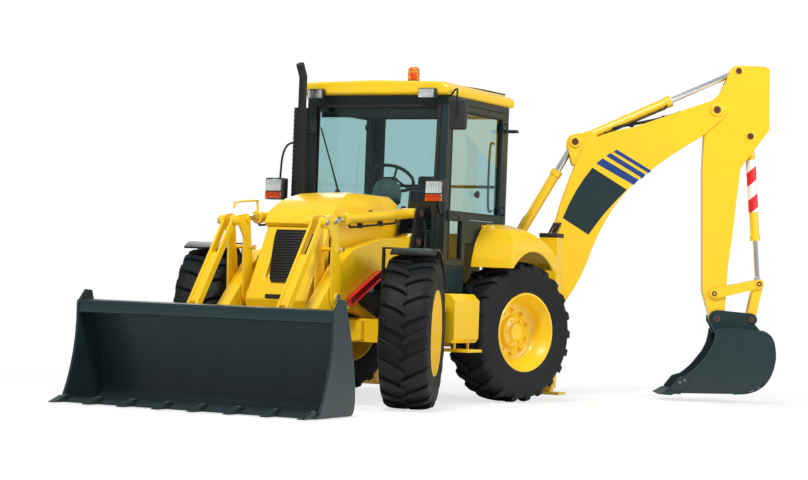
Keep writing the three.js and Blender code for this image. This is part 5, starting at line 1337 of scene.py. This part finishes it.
# %% Helper that swells a cushion
def swell(piece, cap, voxel=0.012):
    """Even out the mesh, blow it up with cloth under pressure, and let no point travel further than cap."""
    with bpy.context.temp_override(object=piece, active_object=piece, selected_objects=[piece]):
        even = piece.modifiers.new("even", "REMESH")
        even.mode = "VOXEL"
        even.voxel_size = voxel
        bpy.ops.object.modifier_apply(modifier="even")
    start = [v.co.copy() for v in piece.data.vertices]
    cloth = piece.modifiers.new("cloth", "CLOTH")
    cloth.settings.use_pressure = True
    cloth.settings.uniform_pressure_force = 4.0
    cloth.settings.quality = 4
    cloth.settings.effector_weights.gravity = 0.0
    cloth.collision_settings.use_collision = False
    for step in range(1, 13):
        bpy.context.scene.frame_set(step)
    shaped = piece.evaluated_get(bpy.context.evaluated_depsgraph_get())
    swollen = [v.co.copy() for v in shaped.data.vertices]
    piece.modifiers.remove(cloth)
    for v, a, b in zip(piece.data.vertices, start, swollen):
        travel = b - a
        v.co = a + travel * min(1.0, cap / max(travel.length, 1e-6))
    bpy.context.scene.frame_set(1)


# %% Helper for whole cushions
def pad(name, low, high, lean, channels, cap):
    """A cushion with sewn channels: each is (axis, place from the middle, depth)."""
    mesh = block(low, high, min(high - low) * 0.34, 3)
    bmesh.ops.subdivide_edges(mesh, edges=mesh.edges, cuts=3, use_grid_fill=True)
    piece = to_piece(name, mesh, "root", [seat_cloth], smooth=80)
    swell(piece, cap)
    middle = (low + high) / 2
    face = 2 if high.z - low.z < high.y - low.y else 1
    front = 1 if face == 2 else -1
    for v in piece.data.vertices:
        for axis, where, depth in channels:
            gap = abs(v.co[axis] - middle[axis] - where) / 0.022
            if gap < 1 and (v.co[face] - middle[face]) * front > 0:
                v.co[face] -= front * depth * (1 - gap ** 2)
    piece.data.transform(lean)
    piece.data.polygons.foreach_set("use_smooth", [True] * len(piece.data.polygons))
    soften = piece.modifiers.new("soft", "SUBSURF")
    soften.levels = soften.render_levels = 1
    return piece


# %% Base, back and headrest
upright = Matrix.Identity(4)
recline = Matrix.Translation(at(0, 1.105, 1.600)) @ Matrix.Rotation(radians(-7.0), 4, "X")
recline = recline @ Matrix.Translation(-at(0, 1.105, 1.600))
base_pad = pad("seat_base_pad", at(-0.205, 0.645, 1.525), at(0.205, 1.050, 1.588), upright,
               [(0, -0.115, 0.010), (0, 0.115, 0.010), (1, -0.02, 0.008)], 0.010)
back_pad = pad("seat_back_pad", at(-0.200, 1.078, 1.610), at(0.200, 1.132, 2.000), recline,
               [(0, -0.110, 0.010), (0, 0.110, 0.010), (2, 0.06, 0.008)], 0.010)
head_pad = pad("seat_headrest", at(-0.115, 1.083, 2.035), at(0.115, 1.130, 2.125), recline, [], 0.008)
print("seat pads:", [len(piece.data.vertices) for piece in (base_pad, back_pad, head_pad)])

# %% Shell, arm rests and suspension boot
shell_parts = [block(at(-0.225, 0.650, 1.462), at(0.225, 1.090, 1.522), 0.020, 3)]
back_shell = block(at(-0.222, 1.134, 1.500), at(0.222, 1.162, 2.020), 0.012, 3)
back_shell.transform(recline)
shell_parts.append(back_shell)
for x in (-0.05, 0.05):
    stalk = pipe([at(x, 1.128, 1.98), at(x, 1.118, 2.06)], 0.008, 10)
    stalk.transform(recline)
    shell_parts.append(stalk)
shell = to_piece("seat_shell", merged(shell_parts), "root", [seat_vinyl])
folds = [(0, 0), (0, 0.150)]
for i in range(7):
    folds += [(0.020 + i * 0.052, 0.165), (0.046 + i * 0.052, 0.140)]
folds += [(0.384, 0.150), (0.384, 0)]
boot = placed_turning(folds, at(0, 0.86, 1.075), (0, 0, 1), 32)
bmesh.ops.scale(boot, vec=(1.15, 1.0, 1.0), space=Matrix.Translation(-at(0, 0.86, 0)), verts=boot.verts)
to_piece("seat_suspension_boot", boot, "root", [seal_rubber])
arm_rests = []
for way in (1, -1):
    arm_rests.append(block(at(way * 0.262 - 0.030, 0.80, 1.700), at(way * 0.262 + 0.030, 1.110, 1.748), 0.014, 3))
    arm_rests.append(pipe([at(way * 0.215, 1.150, 1.700), at(way * 0.255, 1.100, 1.722)], 0.016, 12))
to_piece("seat_arm_rests", merged(arm_rests), "root", [seat_vinyl])
for piece in (base_pad, back_pad, head_pad, shell):
    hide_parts("seat")
print("seat ready")

# %% Every frame node keeps a finish of its own, even where a finished piece stands for it
node_finish = {"yellow_paint": yellow, "slate_paint": slate, "black_paint": satin_black, "tyre_rubber": tyre_rubber,
               "chrome_rod": chrome, "tinted_glass": pane_glass, "engine_grey": cast_grey, "seat_fabric": seat_cloth}
slot_of_node = {part["node"]: part["material_slot"] for part in frame["record"]["subparts"]}
for node, piece in frame["nodes"].items():
    for place in piece.material_slots:
        place.material = node_finish[slot_of_node[node]]
print("frame nodes finished")
